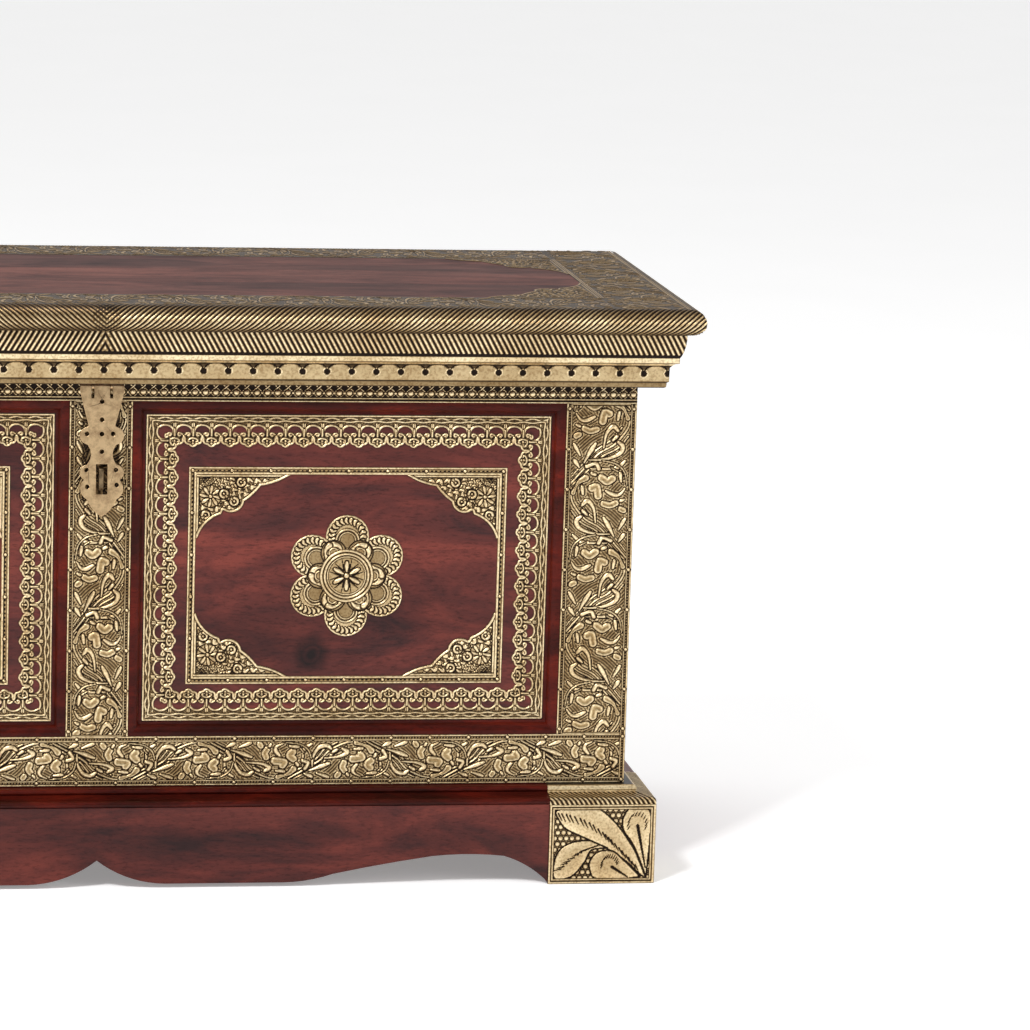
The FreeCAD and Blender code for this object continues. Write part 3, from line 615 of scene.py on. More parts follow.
def knot(tree):
    """Dark whorl round one place of a panel, and white everywhere else."""
    sway = noise(tree, coordinates(tree), 55.0, "Color", Detail=3.0)
    bent = add_node(tree, "ShaderNodeVectorMath", operation="MULTIPLY_ADD")
    tree.links.new(sway, bent.inputs[0])
    bent.inputs[1].default_value = (knot_bend,) * 3
    tree.links.new(coordinates(tree), bent.inputs[2])
    away = add_node(tree, "ShaderNodeVectorMath", operation="DISTANCE")
    tree.links.new(bent.outputs["Vector"], away.inputs[0])
    away.inputs[1].default_value = knot_place
    return ramp(tree, ranged(tree, away.outputs["Value"], 0.0, 1.0, end=knot_reach), *knot_stops)


def wood(name, grain, tones, coat, roughness, cast=0.0, shine=0.12):
    """Sheesham boards: drifting figure, fine pores along the grain, and lacquer that is worn in places."""
    material, tree, shader = new_material(name)
    where = coordinates(tree, GRAIN[grain])
    board = add_node(tree, "ShaderNodeNewGeometry").outputs["Random Per Island"]
    by_board = {"noise_dimensions": "4D", "W": ranged(tree, board, cast, cast + 8.0)}
    figure = noise(tree, where, 21.0, **by_board, Detail=9.0, Roughness=0.66, Distortion=1.3)
    drift = noise(tree, where, 6.5, **by_board, Detail=3.0)
    pores = noise(tree, where, 430.0, Detail=4.0, Roughness=0.7)
    colour = times(tree, ramp(tree, figure, *zip((0.34, 0.50, 0.66), tones)),
                   (0.8, ramp(tree, drift, (0.38, (0.38, 0.36, 0.38)), (0.58, WHITE))),
                   (1.0, knot(tree)),
                   (0.62, ramp(tree, pores, (0.34, (0.35, 0.30, 0.30)), (0.50, WHITE))))
    fill(shader, Base_Color=colour, Roughness=ranged(tree, figure, roughness + 0.1, roughness - 0.06),
         Specular_IOR_Level=shine, Coat_Weight=coat, Coat_Roughness=0.16, Normal=bumps(tree, pores, 0.18, 0.0003))
    return material


def pale_floor():
    material, tree, shader = new_material("pale_floor")
    cloud = noise(tree, coordinates(tree), 3.0, Detail=2.0)
    fill(shader, Base_Color=ramp(tree, cloud, (0.3, (0.885, 0.885, 0.885)), (0.7, (0.9, 0.9, 0.9))), Roughness=0.8,
         Specular_IOR_Level=0.1, Emission_Color=(1.0, 1.0, 1.0, 1.0), Emission_Strength=0.26)
    return material


FRONT_TONES = ((0.034, 0.011, 0.011), (0.096, 0.020, 0.016), (0.172, 0.034, 0.024))
MOULDING_TONES = ((0.026, 0.005, 0.003), (0.066, 0.007, 0.004), (0.135, 0.012, 0.005))
SIDE_TONES = ((0.050, 0.006, 0.005), (0.170, 0.013, 0.009), (0.300, 0.030, 0.016))
TOP_TONES = ((0.040, 0.011, 0.009), (0.098, 0.029, 0.021), (0.150, 0.045, 0.031))
INNER_TONES = ((0.050, 0.021, 0.011), (0.130, 0.058, 0.030), (0.210, 0.105, 0.058))
front_x = wood("front_wood_level", "x", FRONT_TONES, 0.14, 0.34)
front_z = wood("front_wood_upright", "z", FRONT_TONES, 0.14, 0.34, 3.0)
moulding = wood("moulding_wood", "x", MOULDING_TONES, 0.0, 0.3, 4.0, 0.10)
side_y = wood("side_wood", "y", SIDE_TONES, 0.14, 0.38, 5.0)
top_x = wood("lid_wood_level", "x", TOP_TONES, 0.0, 0.45, 1.0, 0.03)
top_y = wood("lid_wood_deep", "y", TOP_TONES, 0.0, 0.45, 2.0, 0.03)
inner_x = wood("inner_wood_level", "x", INNER_TONES, 0.0, 0.62, 6.0)
inner_y = wood("inner_wood_deep", "y", INNER_TONES, 0.0, 0.62, 7.0)
embossed = relief_brass("embossed_brass", 0.34, (0.98, 0.82, 0.53), (0.46, 0.335, 0.17), (0.155, 0.102, 0.05),
                        (0.014, 0.008, 0.005))
embossed_top = relief_brass("embossed_brass_lid", 0.46, (0.43, 0.31, 0.165), (0.125, 0.084, 0.042),
                            (0.034, 0.020, 0.011), (0.008, 0.005, 0.003))
worn_brass = plain_brass("worn_brass", (0.68, 0.485, 0.27), (0.36, 0.235, 0.125), 0.38)
dark_brass = plain_brass("dark_brass", (0.24, 0.17, 0.095), (0.07, 0.05, 0.03), 0.42)
dull_steel = plain_brass("dull_steel", (0.42, 0.40, 0.37), (0.22, 0.19, 0.16), 0.45)

finishes = {
    front_x: "front_top_rail front_bottom_rail front_panel_left front_panel_right plinth_apron_front",
    moulding: "recess_moulding_left recess_moulding_right base_moulding_front",
    front_z: "front_stile_left front_stile_right centre_stile foot_block_front_left foot_block_front_right "
             "foot_blocks_rear",
    side_y: "side_planks_left side_planks_right plinth_apron_left plinth_apron_right base_moulding_left "
            "base_moulding_right",
    top_x: "lid_frame_front lid_frame_back lid_field_boards cornice_front",
    top_y: "lid_frame_left lid_frame_right cornice_left cornice_right",
    inner_x: "back_planks floor_bearers plinth_back_board",
    inner_y: "floor_boards lid_battens",
    dark_brass: "hasp_staple",
    worn_brass: "hasp_plate hasp_eyes hinge_leaves_body hinge_leaves_lid",
    dull_steel: "hinge_pins hasp_pin",
}
weld_reach = 0.00001
edge_round = 0.0007
edge_angle = 35


def finish_nodes():
    """Materials on the CAD pieces, and a small round on their edges."""
    for material, names in finishes.items():
        for name in names.split():
            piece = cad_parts[name]
            piece.data.materials.clear()
            piece.data.materials.append(material)
            piece.data.shade_smooth()
            piece.modifiers.new("weld", "WELD").merge_threshold = weld_reach
            bevel = piece.modifiers.new("round", "BEVEL")
            bevel.width = edge_round
            bevel.segments = 2
            bevel.limit_method = "ANGLE"
            bevel.angle_limit = math.radians(edge_angle)
            weighted = piece.modifiers.new("flat_faces", "WEIGHTED_NORMAL")
            weighted.keep_sharp = False
            weighted.weight = 100


# Brass on the front frame
def stile_relief(width, height):
    relief = Relief(width, height)
    relief.vine((edge_band, 0), (width - edge_band, height), True, stile_bay, stile_root)
    relief.ridge(np.minimum(relief.v, height - relief.v), 0.9, 0.8)
    for across in (relief.u, width - relief.u):
        relief.edge_rows(across, relief.v)
    for u in (dash_row, width - dash_row):
        relief.nails((u, nail_radius * 3), (u, height - nail_radius * 3))
    return relief


def stile_sheets():
    """Vines on the three stiles. The brass behind the hasp is darkened with painted shade, which stands for the hasp's
    shadow.
    """
    hasp_low, hasp_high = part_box("hasp_plate")
    for name in ("right", "left", "centre"):
        low, size = size_mm("stile_sheet_" + name)
        relief = stile_relief(size.x, size.z)
        if name == "centre":
            # Painted shade of the hasp: the brass within its outline is darker
            beside = np.abs(relief.u - size.x / 2) - hasp_high.x / MM
            in_hasp_shade = (beside < -hasp_shade_margin) & (relief.v > (hasp_low.z - low.z) / MM + hasp_shade_foot)
            relief.dark = np.where(in_hasp_shade, np.clip(relief.dark + hasp_shade_dark, 0, 1), relief.dark)
        part = laid(relief, on_front(low.x, face_y, low.z), False)
        mesh_piece("embossed_stile_" + name, part, embossed, "chest", ["stile_sheet_" + name])


def bottom_rail_sheet():
    low, size = size_mm("bottom_rail_sheet")
    relief = Relief(size.x, size.z)
    root = size.x / 2 - edge_band + rail_root
    relief.vine((edge_band, edge_band), (size.x - edge_band, size.z - edge_band), False, rail_bay, root)
    for across in (relief.v, size.z - relief.v):
        relief.edge_rows(across, relief.u)
    for across in (relief.u, size.x - relief.u):
        relief.edge_rows(across, relief.v)
    for v in (dash_row, size.z - dash_row):
        relief.nails((dash_row, v), (size.x - dash_row, v))
    part = laid(relief, on_front(low.x, face_y, low.z), False)
    mesh_piece("embossed_bottom_rail", part, embossed, "chest", ["bottom_rail_sheet"])


def lattice():
    """Crossed ribs with a bright bead in each diamond, over a hatched row."""
    low, size = size_mm("lattice_strip")
    relief = Relief(size.x / 2, size.z, fine_step, rise=groove_floor, dark=1.0)
    half = lattice_pitch / 2
    up = relief.v - lattice_middle
    for lean in (1, -1):
        off = np.abs(np.mod(relief.u + lean * up, lattice_pitch) - half) * math.sqrt(0.5)
        relief.ridge(off, lattice_rib, 1.0, relief.v > hatch_top)
    for index in range(int(size.x / 2 / lattice_pitch) + 1):
        relief.dome((index * lattice_pitch, lattice_middle), lattice_bead, 1.9, 0.8)
        relief.dome(((index + 0.5) * lattice_pitch, lattice_middle), small_bead, 1.4, 0.5)
    stripe = np.abs(np.mod(relief.u + hatch_slope * relief.v, hatch_pitch) - hatch_pitch / 2)
    relief.ridge(stripe, 0.9, 0.8, (relief.v > hatch_foot) & (relief.v < hatch_top - 0.6))
    relief.ribs(relief.v, lattice_edges)
    part = both_sides(laid(relief, on_front(0, face_y, low.z), False))
    mesh_piece("embossed_lattice", part, embossed, "chest", ["lattice_strip"])


# Brass on the panels
def on_panels(name, node, relief):
    """A relief on both panels, where its node lies on the right and on the left."""
    for side in ("right", "left"):
        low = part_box(node + side)[0]
        part = laid(relief, on_front(low.x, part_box("front_panel_" + side)[0].y, low.z), False)
        mesh_piece(name + side, part, embossed, "chest", [node + side])


def panel_lace():
    """Wavy ribs, a row of half moon openings under arches, and lobes of strapwork that end in curls."""
    size = size_mm("panel_lace_right")[1]
    relief = Relief(size.x, size.z, fine_step)
    depth, along, beside = from_edge(relief)
    solid = lace_width - lace_lobe_depth
    count = np.where(beside, int((size.z - 2 * solid) / lace_pitch), int((size.x - 2 * solid) / lace_pitch)) + 1
    shifted = along + np.where(count % 2 == 0, lace_pitch / 2, 0)
    s = np.abs(np.mod(shifted + lace_pitch / 2, lace_pitch) - lace_pitch / 2)
    from_post = lace_pitch / 2 - s
    in_row = np.abs(along) < count * lace_pitch / 2
    arches = np.abs(along) < (count + 1) * lace_pitch / 2

    def between(depths):
        return (depth > depths[0]) & (depth < depths[1])

    relief.dark = np.where(np.mod(depth + lace_hatch_slope * along, lace_hatch) < 1.0, 0.85, 0.5)
    for place, sway in lace_waves:
        relief.ridge(np.abs(depth - place - sway * np.cos(2 * math.pi * s / lace_pitch)), 0.9, 1.1)
    from_arch = np.hypot(from_post * arch_rise / arch_half, np.minimum(depth - arch_depth, 0)) / arch_rise
    relief.paint((from_arch < 1) & (depth > arch_depth - arch_rise) & arches, -open_depth, 1.0)
    relief.paint(depth > arch_depth, -open_depth, 0.9)
    lobe_s, lobe_depths = np.array(lobe_outline[::-1]).T
    lobe = between((arch_depth, lobe_depths[-1])) & (s <= np.interp(depth, lobe_depths, lobe_s))
    relief.paint(lobe & in_row, ground_rise, 0.45)
    for place_s, place_depth, radius in lobe_holes:
        relief.cut((np.hypot(s - place_s, depth - place_depth) < radius) & in_row)
    relief.ridge(np.abs(from_arch - 1) * arch_rise, arch_strap, strap_rise, arches & between(arch_depths))
    relief.ridge(s, 1.0, strap_rise, arches & between(post_depths))
    for line, half in lobe_straps:
        relief.ridge(to_line(s, depth, smooth_line(line))[0], half, strap_rise, in_row)
    relief.ridge(s + np.abs(depth - lobe_bead_depth), 1.4, 1.6, in_row)
    relief.ridge(np.abs(s - 0.9), 0.8, 1.4, between(tie_depths))
    relief.ribs(depth, lace_ribs)
    on_panels("pierced_lace_", "panel_lace_", relief)


def inner_border():
    size = size_mm("inner_border_right")[1]
    relief = Relief(size.x, size.z, fine_step, border_rise, border_dark)
    depth, along = from_edge(relief)[:2]
    middle = border_width / 2
    relief.cut((np.abs(depth - middle) < 0.9) & (np.mod(along, dot_pitch) < dot_pitch / 2))
    relief.ribs(depth, border_ribs)
    relief.paint(depth > border_width, -open_depth, 0.9)
    for v in (middle, size.z - middle):
        relief.nails((middle, v), (size.x - middle, v))
    for u in (middle, size.x - middle):
        relief.nails((u, middle), (u, size.z - middle))
    on_panels("beaded_border_", "inner_border_", relief)


def arc_points(start, through, end, count=9):
    """Points on the arc from start to end through a third point."""
    start, through, end = (np.array(p, float) for p in (start, through, end))
    rows = np.array([2 * (through - start), 2 * (end - start)])
    centre = np.linalg.solve(rows, [through @ through - start @ start, end @ end - start @ start])
    angles = np.unwrap([math.atan2(*(p - centre)[::-1]) for p in (start, through, end)])
    radius = np.linalg.norm(start - centre)
    return [centre + radius * np.array([math.cos(a), math.sin(a)]) for a in np.linspace(angles[0], angles[2], count)]


def ray(angle):
    return np.array([math.cos(math.radians(angle)), math.sin(math.radians(angle))])


def curl(relief, centre, turn):
    """Open ring with a dark eye and a bead."""
    relief.dome(centre, curl_radius + 1.6, 0.6)
    line = [centre + curl_radius * ray(turn + step) for step in range(0, 300, 30)]
    relief.stroke(line, (1.5, 1.0), 1.7, 0.7)
    relief.dome(centre, 1.1, 1.3, 0.9)


def bracket_relief(length, height, step):
    """Corner bracket with its right angle at the lower left: rims, a flower, curls and leaves."""
    relief = Relief(length, height, step, dark=bracket_dark)
    edge = []
    for point in bracket_shares:
        if isinstance(point[0], tuple):
            edge += arc_points(edge[-1], *relief.at(point))[1:]
        else:
            edge.append(relief.at(point))
    edge = np.array(edge)
    for share in bracket_leaf_shares:
        line = edge[::2] * share + 2.0
        for index, (start, end) in enumerate(zip(line, line[1:])):
            lean = np.array([end[1] - start[1], start[0] - end[0]]) * (0.8 if index % 2 else -0.6)
            relief.stroke([start, (start + end) / 2 + lean, end], (1.0, 2.0), 1.7, 0.6)
    flower = relief.at(bracket_flower_share)
    relief.dome(flower, flower_radius, 0.5)
    for turn in range(0, 360, 45):
        petal = [flower + flower_petal[0] * ray(turn), flower + flower_petal[1] * ray(turn + 8)]
        relief.stroke(petal, (0.8, 1.9), 1.8, 0.8)
    relief.dome(flower, 2.0, 1.8)
    for index, share in enumerate(bracket_curl_shares):
        curl(relief, relief.at(share), 90 * index)
    for off in (relief.u, relief.v):
        relief.ribs(off, bracket_ribs)
    inward = within(relief.u, relief.v, edge)
    relief.ribs(inward, bracket_rim)
    relief.dark = np.where(inward < 0.4, 0.9, relief.dark)
    relief.rise = np.clip(relief.rise, -open_depth, np.maximum(inward * 1.6, -open_depth))
    return relief


def panel_brackets():
    relief = bracket_relief(bracket_length, bracket_height, fine_step)
    low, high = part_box("inner_border_right")
    panel_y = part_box("front_panel_right")[0].y
    inset = border_width * MM
    parts = []
    for x, across in ((low.x + inset, 1), (high.x - inset, -1)):
        for z, up in ((low.z + inset, 1), (high.z - inset, -1)):
            parts.append(laid(relief, lambda u, v, h: (x + across * u, panel_y - h, z + up * v), across * up < 0))
    mesh_piece("corner_brackets", both_sides(joined(parts)), embossed, "chest", ["panel_brackets"])


def rosette():
    """Six round petals with rims and leaf marks, six crescents, a ringed disc, and a star in the middle."""
    size = size_mm("rosette_right")[1]
    relief = Relief(size.x, size.z, fine_step, rise=-open_depth, dark=0.9)
    centre = np.array([size.x / 2, size.z / 2])

    def away(middle):
        return np.hypot(relief.u - middle[0], relief.v - middle[1])

    for turn in range(30, 360, 60):
        middle = centre + petal_place * ray(turn)
        relief.paint(away(middle) < petal_radius, ground_rise, 0.2)
        relief.ribs(away(middle), petal_rings)
        for way in range(turn - 112, turn + 113, 16):
            leaf = [middle + reach * ray(way + lean) for reach, lean in zip(petal_leaves, (0, 7, 4))]
            relief.stroke(leaf, (0.8, 1.7), 1.5, 0.9)
        eye = centre + (petal_place - eye_shift) * ray(turn)
        relief.paint(away(eye) < eye_radius, ground_rise, 0.42)
        relief.ribs(away(eye), eye_rings)
    for turn in range(0, 360, 60):
        middle = centre + crescent_place * ray(turn)
        relief.dome(middle, crescent_disc, 0.8, 1.1)
        arc = [middle + crescent_radius * ray(turn + step) for step in range(-96, 97, 24)]
        relief.stroke(arc[:5], (1.0, 3.0), 1.9, 0.9)
        relief.stroke(arc[4:], (3.0, 1.0), 1.9, 0.9)
        relief.ribs(away(middle), crescent_rings)
    relief.paint(away(centre) < disc_radius, ground_rise + 0.4, 0.27)
    relief.ribs(away(centre), disc_rings)
    for turn in range(30, 360, 60):
        for lean in (-14, 14):
            relief.tick(centre + star_tick[0] * ray(turn + 30), centre + star_tick[1] * ray(turn + 30 + lean), 0.7)
        relief.stroke([centre + reach * ray(turn) for reach in star_line], (0.9, 2.3), 1.9)
    relief.dome(centre, 2.8, 2.0)
    on_panels("petal_rosette_", "rosette_", relief)


# Outlines and rows of engraved lines on a foot, as shares of its width and height from its inner lower corner
leaf_shares = (
    [(0.93, 0.05), (0.86, 0.27), (0.80, 0.44), (0.67, 0.69), (0.55, 0.86), (0.42, 0.965), (0.20, 0.95), (0.06, 0.92),
     (0.09, 0.80), (0.16, 0.69), (0.30, 0.60), (0.46, 0.50), (0.60, 0.40), (0.74, 0.27), (0.85, 0.13)],
    [(0.55, 0.45), (0.40, 0.42), (0.34, 0.27), (0.22, 0.09), (0.06, 0.07), (0.06, 0.30), (0.12, 0.45), (0.24, 0.53),
     (0.38, 0.55)],
    [(0.925, 0.08), (0.84, 0.36), (0.78, 0.52), (0.70, 0.67), (0.69, 0.82), (0.76, 0.955), (0.90, 0.955),
     (0.955, 0.85), (0.95, 0.50)],
    [(0.87, 0.08), (0.72, 0.28), (0.60, 0.41), (0.47, 0.40), (0.39, 0.28), (0.40, 0.14), (0.46, 0.06), (0.70, 0.05)],
)
rib_shares = (
    ([(0.08, 0.89), (0.21, 0.86), (0.36, 0.78), (0.50, 0.65), (0.60, 0.53), (0.72, 0.37), (0.82, 0.23)], 21,
     (0.037, -0.092)),
    ([(0.12, 0.19), (0.22, 0.31), (0.34, 0.42), (0.46, 0.48)], 11, (-0.060, -0.020)),
)
stem_shares = (((0.83, 0.73), (0.915, 0.20)), ((0.60, 0.21), (0.75, 0.08)))
fan_shares = (((0.82, 0.73), (0.085, 0.13), 200, -20), ((0.57, 0.22), (0.075, 0.105), 190, 10))
scale_pitch = 6.0
foot_ribs = ((1.2, 1.2, 1.2), (4.2, 0.7, 0.9))
foot_dash_row = 2.9
foot_dash_half = 0.5
foot_dash_length = 6.0
foot_dash_pitch = 9.0


def foot_relief(width, height):
    """Large leaf across the sheet, a smaller one under it, and two drops from the outer lower corner."""
    relief = Relief(width, height, fine_step, dark=0.4)
    for row in range(int(height / scale_pitch) + 1):
        for column in range(int(width / scale_pitch) + 1):
            centre = ((column + 0.5 * (row % 2)) * scale_pitch, row * scale_pitch)
            relief.dome(centre, 2.4, 0.9, 0.9)
    for outline in leaf_shares:
        relief.patch(relief.at(outline), 1.5)
    for rib, count, run in rib_shares:
        line = smooth_line(relief.at(rib), 12)
        for index in np.linspace(0, len(line) - 1, count).astype(int):
            relief.tick(line[index], line[index] + relief.at(run))
    for stem in stem_shares:
        relief.tick(*relief.at(stem), 1.5)
    for middle, reach, first, last in fan_shares:
        for angle in np.linspace(first, last, 12):
            spot = relief.at(middle) + ray(angle) * relief.at(reach)
            relief.tick(spot, spot + (2.0, 4.0), 0.6)
    off, along = from_edge(relief)[:2]
    relief.ribs(off, foot_ribs)
    dash = np.mod(along, foot_dash_pitch) < foot_dash_length
    relief.cut((np.abs(off - foot_dash_row) < foot_dash_half) & dash)
    return relief


def foot_sheets():
    low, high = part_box("foot_sheet_right")
    block_low, block_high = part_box("foot_block_front_right")
    height = (high.z - low.z) / MM
    front = foot_relief((high.x - low.x) / MM, height)
    deep = foot_relief((high.y - low.y) / MM, height)
    deep.u = deep.width - deep.u
    parts = [laid(front, on_front(low.x, block_low.y, low.z), False),
             laid(deep, on_side(block_high.x, low.y, low.z), True)]
    part = both_sides(joined(parts))
    mesh_piece("embossed_feet", part, embossed, "chest", ["foot_sheet_right", "foot_sheet_left"])


# Mouldings that run round the front and both sides
def swept(profile, drawing, start_x, end_y):
    """Skin of the right half along the front and the side, with a mitred corner. The profile is reach and height."""
    run = np.gradient(profile, axis=0)
    outward = np.stack([run[:, 1], -run[:, 0]], axis=-1)
    outward /= np.linalg.norm(outward, axis=1)[:, None] + 1e-9
    reach, height = profile[:, :1], profile[:, 1:]
    corner_x, corner_y = body_half + reach.max(), front_y - reach.max()

    def skin(along, to_points):
        lift, dark = drawing(along, reach, height)
        x, y = to_points(reach + lift * outward[:, :1])
        points = np.stack([x, y, height + lift * outward[:, 1:]], axis=-1).reshape(-1, 3)
        return points * MM, grid_quads(*dark.shape, False), dark.ravel()

    x = np.minimum(np.linspace(start_x, corner_x, round((corner_x - start_x) / rope_step)), body_half + reach)
    y = np.maximum(np.linspace(corner_y, end_y, round((end_y - corner_y) / rope_step)), front_y - reach)
    return joined([skin(x, lambda out: (x, front_y - out)),
                   skin(corner_x + y - corner_y, lambda out: (body_half + out, y))])


def strands(phase, depth):
    """Rounded strands between dark grooves: their height below the skin and their darkness."""
    crown = np.clip((np.abs(np.sin(math.pi * phase)) - 0.3) / 0.7, 0, 1) ** 0.8
    return -depth * (1 - crown), np.clip(1.8 * (1 - crown) - 0.08, 0, 1)


def crossed(along, lean, pitch, depth, reach):
    """Strands that lean away from the middle of the front, and cross there."""
    lift, dark = strands((along + lean) / pitch, depth)
    other_lift, other_dark = strands((along - lean) / pitch, depth)
    share = cross_share * (np.abs(along) + np.abs(lean) * 0.5 < reach)
    return np.minimum(lift, share * other_lift), np.maximum(dark, share * other_dark)


def rope_nose():
    low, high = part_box("rope_edge")
    radius = (high.z - low.z) / MM / 2
    crease = high.x / MM - body_half - radius
    turns = np.linspace(-math.pi / 2, math.pi / 2, 38)
    centre_z = low.z / MM + radius
    profile = np.stack([crease + radius * np.cos(turns), centre_z + radius * np.sin(turns)], axis=-1)

    def drawing(along, reach, height):
        turn = turns[:, None]
        lift, dark = crossed(along, -nose_twist * turn, nose_pitch, nose_depth, cross_half)
        fade = np.clip((math.pi / 2 - np.abs(turn)) / 0.3, 0, 1)
        # Painted shade: the nose is darker towards its top and bottom edges, where its round turns away from the front
        rim = np.clip((np.abs(turn + 0.1) - 0.3) / 1.0, 0, 1)
        return lift * fade, np.clip(dark * (0.6 + 0.4 * fade) + 0.55 * rim, 0, 1)

    end_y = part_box("lid_frame_left")[1].y / MM
    mesh_piece("rope_nose", both_sides(swept(profile, drawing, 0, end_y)), embossed, "lid", ["rope_edge"])


def resampled(line):
    """The line with points at most a rope step apart."""
    dense = [line[0]]
    for start, stop in zip(line, line[1:]):
        count = max(1, math.ceil(np.linalg.norm(stop - start) / rope_step))
        dense += [start + (stop - start) * (i + 1) / count for i in range(count)]
    return np.array(dense)


def cornice_profile(foot, bottom, height):
    line = [np.array([foot - cornice_skin_edge, bottom])]
    line += [np.array([foot + a * cornice_step, bottom + b * height]) for a, b in cornice_shares]
    through, end = (np.array([foot + a * cornice_step, bottom + b * height]) for a, b in cornice_round_shares)
    return resampled(line + arc_points(line[-1], through, end, 20)[1:])


def cornice_skin():
    """Rope band, plain band, a row of scallops between holes, and a fillet, from the top down."""
    low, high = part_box("cornice_skin")
    bottom = low.z / MM
    full_height = (high.z - low.z) / MM
    profile = cornice_profile(high.x / MM - body_half - cornice_step, bottom, full_height)

    def level(share):
        return bottom + share * full_height

    def drawing(along, reach, height):
        lift, dark = crossed(along, (height - level(0.6)) * band_slope, band_pitch, band_depth, 0.6 * cross_half)
        rope = (height > level(rope_levels[0])) & (height < level(rope_levels[1]))
        lift = np.where(rope, lift, 0.0)
        # Painted shade under the rope band; below the plain band the skin is darker towards the bottom
        below = np.where(height > level(plain_level), 0.0, np.where(height > level(fillet_level), 0.23, 0.46))
        dark = np.where(rope, dark, np.where(height > level(rope_shade_level), 1.0, below))
        hole_z = level(hole_level)
        shift = np.abs(np.mod(along, scallop_pitch) - scallop_pitch / 2)
        arch = hole_z + scallop_rise * np.sqrt(np.clip(1 - (shift * 2 / scallop_pitch) ** 2, 0, 1))
        to_hole = np.hypot(shift - scallop_pitch / 2, height - hole_z)
        scallop = (height > level(scallop_levels[0])) & (height < level(scallop_levels[1])) & (along >= 0)
        for where, depth, tone in (
                (height > arch, -0.3, 0.75), (to_hole < scallop_hole + scallop_rim, 0.0, 0.0),
                (np.abs(height - arch) < scallop_line, scallop_sink, 1.0), (to_hole < scallop_hole, scallop_sink, 1.0)):
            lift = np.where(scallop & where, depth, lift)
            dark = np.where(scallop & where, tone, dark)
        # Lines of painted shade under the steps of the section
        for start, stop, tone in cornice_shade_lines:
            dark = np.where((height >= level(start)) & (height < level(stop)), tone, dark)
        return lift, np.where(reach < profile[1, 0], 0.8, dark)

    end_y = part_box("cornice_left")[1].y / MM
    mesh_piece("cornice_cladding", both_sides(swept(profile, drawing, 0, end_y)), embossed, "lid", ["cornice_skin"])


def base_corner():
    """Brass over the base moulding at the front corners: a smooth bead over a rope hatched slope. The bead has a
    painted highlight along its front, which fades into painted shade over the flat top.
    """
    low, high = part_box("moulding_corner_right")
    top, bottom = high.z / MM, low.z / MM
    upper = np.array([base_bead_place, top - base_bead])
    lower = np.array([high.x / MM - body_half - base_lower_bead, bottom + base_lower_bead - base_lower_drop])
    line = [np.array([0.0, top]), np.array([base_bead_place, top])]
    line += [upper + base_bead * ray(angle) for angle in np.linspace(80, base_bead_end, 10)]
    slope_end = lower + (0, base_lower_bead)
    line.append(slope_end + (line[-1] - slope_end) * base_hollow_share * (2, 1))
    line += [lower + base_lower_bead * ray(angle) for angle in np.linspace(90, -10, 10)]
    line.append(np.array([line[-1][0], bottom]))
    rope_start = base_bead_place + base_rope_share * base_bead

    def drawing(along, reach, height):
        lift, dark = strands((along + (height - reach) * base_slope) / base_pitch, base_depth)
        # Painted highlight on the bead, darker away from it, up to full painted shade over the flat top
        rope = reach > rope_start
        bead = np.abs(reach - base_bead_place - base_highlight_share * base_bead) / base_bead
        return np.where(rope, lift, 0.0), np.where(rope, dark, np.clip(1.2 * bead ** 2, 0, 1))

    foot_low, foot_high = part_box("foot_block_front_right")
    part = swept(resampled(line)[::-1], drawing, foot_low.x / MM, foot_high.y / MM)
    mesh_piece("rope_base_corners", both_sides(part), embossed, "chest",
               ["moulding_corner_right", "moulding_corner_left"])


# Top of the lid
pair_band = 4.4
pair_places = (1.0, 3.4)
pair_half = 0.7


def lid_border():
    """Border sheets with a flat vine, and thin double lines along the field's sides and the side creases."""
    low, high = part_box("lid_border_sheets")
    field_low, field_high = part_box("lid_field_boards")
    base_z = field_high.z
    squeeze = (high.z - base_z) / MM / leaf_rise

    def flat_vine(width, height, upright):
        relief = Relief(width, height)
        relief.vine((3, 0) if upright else (0, 3), (width - 3, height) if upright else (width, height - 3), upright,
                    lid_bay, lid_root)
        relief.rise *= squeeze
        return relief

    def double_line(relief, off, where):
        relief.paint((off < pair_band) & where, 0.0, 1.0)
        for place in pair_places:
            relief.paint((np.abs(off - place) < pair_half) & where, leaf_rise * squeeze, 0.0)

    width = (field_high.x - field_low.x) / MM
    parts = []
    for y0, y1 in ((low.y, field_low.y), (field_high.y, high.y)):
        parts.append(laid(flat_vine(width, (y1 - y0) / MM, False), on_top(field_low.x, y0, base_z), False))
    relief = flat_vine((high.x - field_high.x) / MM, (high.y - low.y) / MM, True)
    by_field = (relief.v > (field_low.y - low.y) / MM) & (relief.v < (field_high.y - low.y) / MM)
    double_line(relief, relief.u, by_field)
    double_line(relief, relief.width - relief.u, True)
    for sign in (1, -1):
        parts.append(laid(relief, on_top(sign * field_high.x, low.y, base_z, sign), sign < 0))
    mesh_piece("embossed_lid_border", joined(parts), embossed_top, "lid", ["lid_border_sheets"])
    bracket = bracket_relief(lid_bracket_length, lid_bracket_height, relief_step)
    bracket.rise = np.where(bracket.rise > 0, bracket.rise * (high.z - base_z) / MM / bracket.rise.max(), bracket.rise)
    parts = []
    for x, across in ((field_high.x, -1), (field_low.x, 1)):
        for y, back in ((field_low.y, 1), (field_high.y, -1)):
            parts.append(laid(bracket, on_top(x, y, base_z, across, back), across * back < 0))
    mesh_piece("lid_corner_brackets", joined(parts), embossed_top, "lid", ["lid_brackets"])


# Camera at the photograph's view, lights and floor
camera_place = (-0.3350, -4.79235, 1.2256)
camera_yaw = 9.343
camera_pitch = 10.261
camera_roll = 1.778
camera_lens = 162.63
floor_half = 30.0


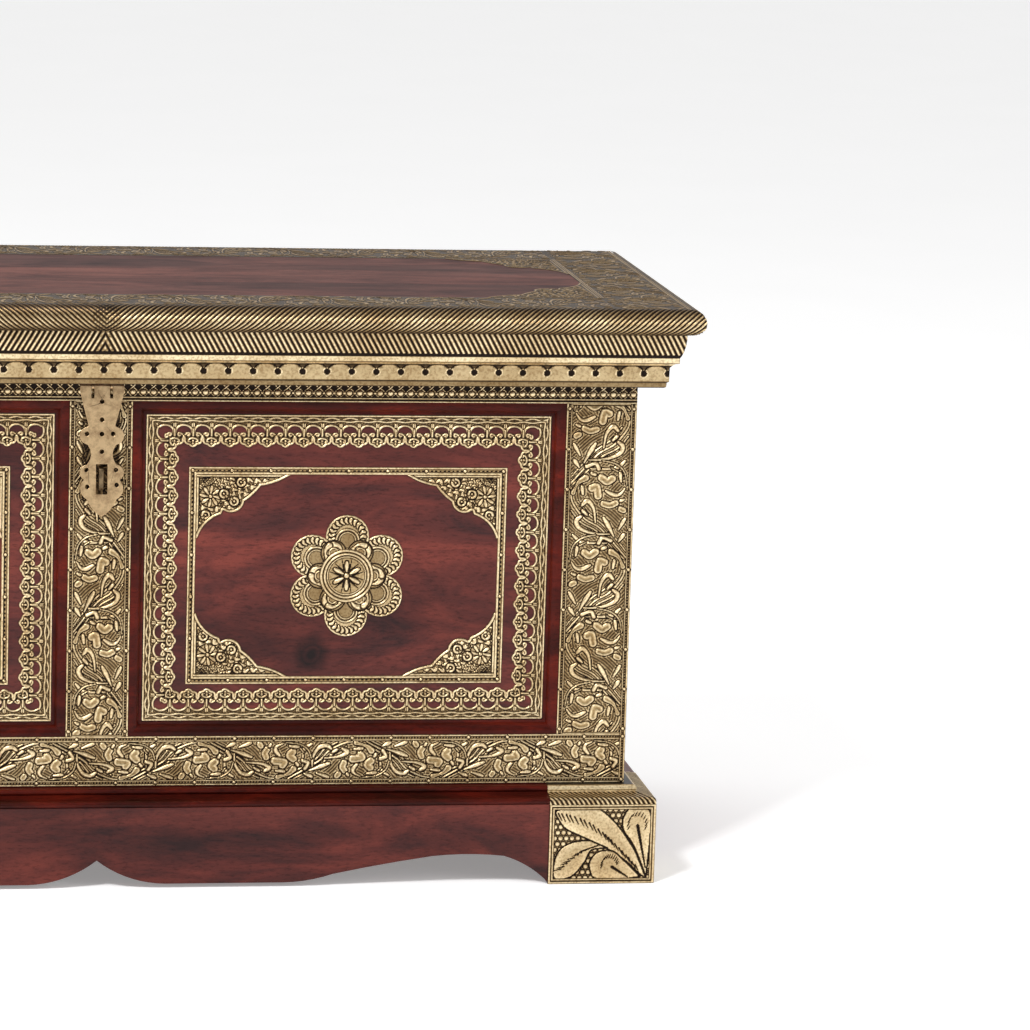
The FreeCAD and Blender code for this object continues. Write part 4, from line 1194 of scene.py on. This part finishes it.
def camera():
    yaw, pitch, roll = (math.radians(a) for a in (camera_yaw, camera_pitch, camera_roll))
    forward = Vector((math.sin(yaw) * math.cos(pitch), math.cos(yaw) * math.cos(pitch), -math.sin(pitch)))
    level = Vector((math.cos(yaw), -math.sin(yaw), 0))
    above = level.cross(forward)
    right = level * math.cos(roll) + above * math.sin(roll)
    up = above * math.cos(roll) - level * math.sin(roll)
    data = bpy.data.cameras.new("camera")
    data.lens = camera_lens
    data.sensor_width = 36.0
    data.sensor_fit = "HORIZONTAL"
    data.clip_start, data.clip_end = 0.1, 100
    eye = bpy.data.objects.new("camera", data)
    turn = Matrix((right, up, -forward)).transposed().to_4x4()
    eye.matrix_world = Matrix.Translation(camera_place) @ turn
    bpy.context.scene.collection.objects.link(eye)
    bpy.context.scene.camera = eye


def area_light(name, place, size, power, target=(0, 0, 0.3)):
    data = bpy.data.lights.new(name, "AREA")
    data.shape = "RECTANGLE"
    data.size, data.size_y = size
    data.energy = power
    light = bpy.data.objects.new(name, data)
    light.location = place
    light.rotation_euler = (Vector(target) - Vector(place)).to_track_quat("-Z", "Y").to_euler()
    bpy.context.scene.collection.objects.link(light)


def surroundings():
    """White studio that is dimmer in front of the chest than behind it, soft lights and a pale floor."""
    world = bpy.data.worlds.new("studio")
    world.use_nodes = True
    tree = world.node_tree
    background = tree.nodes["Background"]
    way = add_node(tree, "ShaderNodeTexCoord").outputs["Generated"]
    back = add_node(tree, "ShaderNodeSeparateXYZ", Vector=way).outputs["Y"]
    fill(background, Color=(1.0, 1.0, 1.0, 1.0), Strength=ranged(tree, back, 0.32, 1.0, -1.0))
    bpy.context.scene.world = world
    bpy.context.scene.view_settings.view_transform = "Standard"
    area_light("key", (-1.9, -2.8, 3.9), (0.9, 0.9), 210)
    area_light("fill", (3.4, -2.4, 1.6), (1.0, 2.0), 30)
    area_light("top", (0.2, 0.4, 3.6), (2.4, 1.2), 20)
    mesh = bpy.data.meshes.new("floor")
    corners = [(x * floor_half, y * floor_half, 0) for x, y in ((-1, -1), (1, -1), (1, 1), (-1, 1))]
    mesh.from_pydata(corners, [], [(0, 1, 2, 3)])
    mesh.materials.append(pale_floor())
    floor = bpy.data.objects.new("floor", mesh)
    bpy.context.scene.collection.objects.link(floor)


finish_nodes()
stile_sheets()
bottom_rail_sheet()
lattice()
panel_lace()
inner_border()
panel_brackets()
rosette()
foot_sheets()
rope_nose()
cornice_skin()
base_corner()
lid_border()
camera()
surroundings()
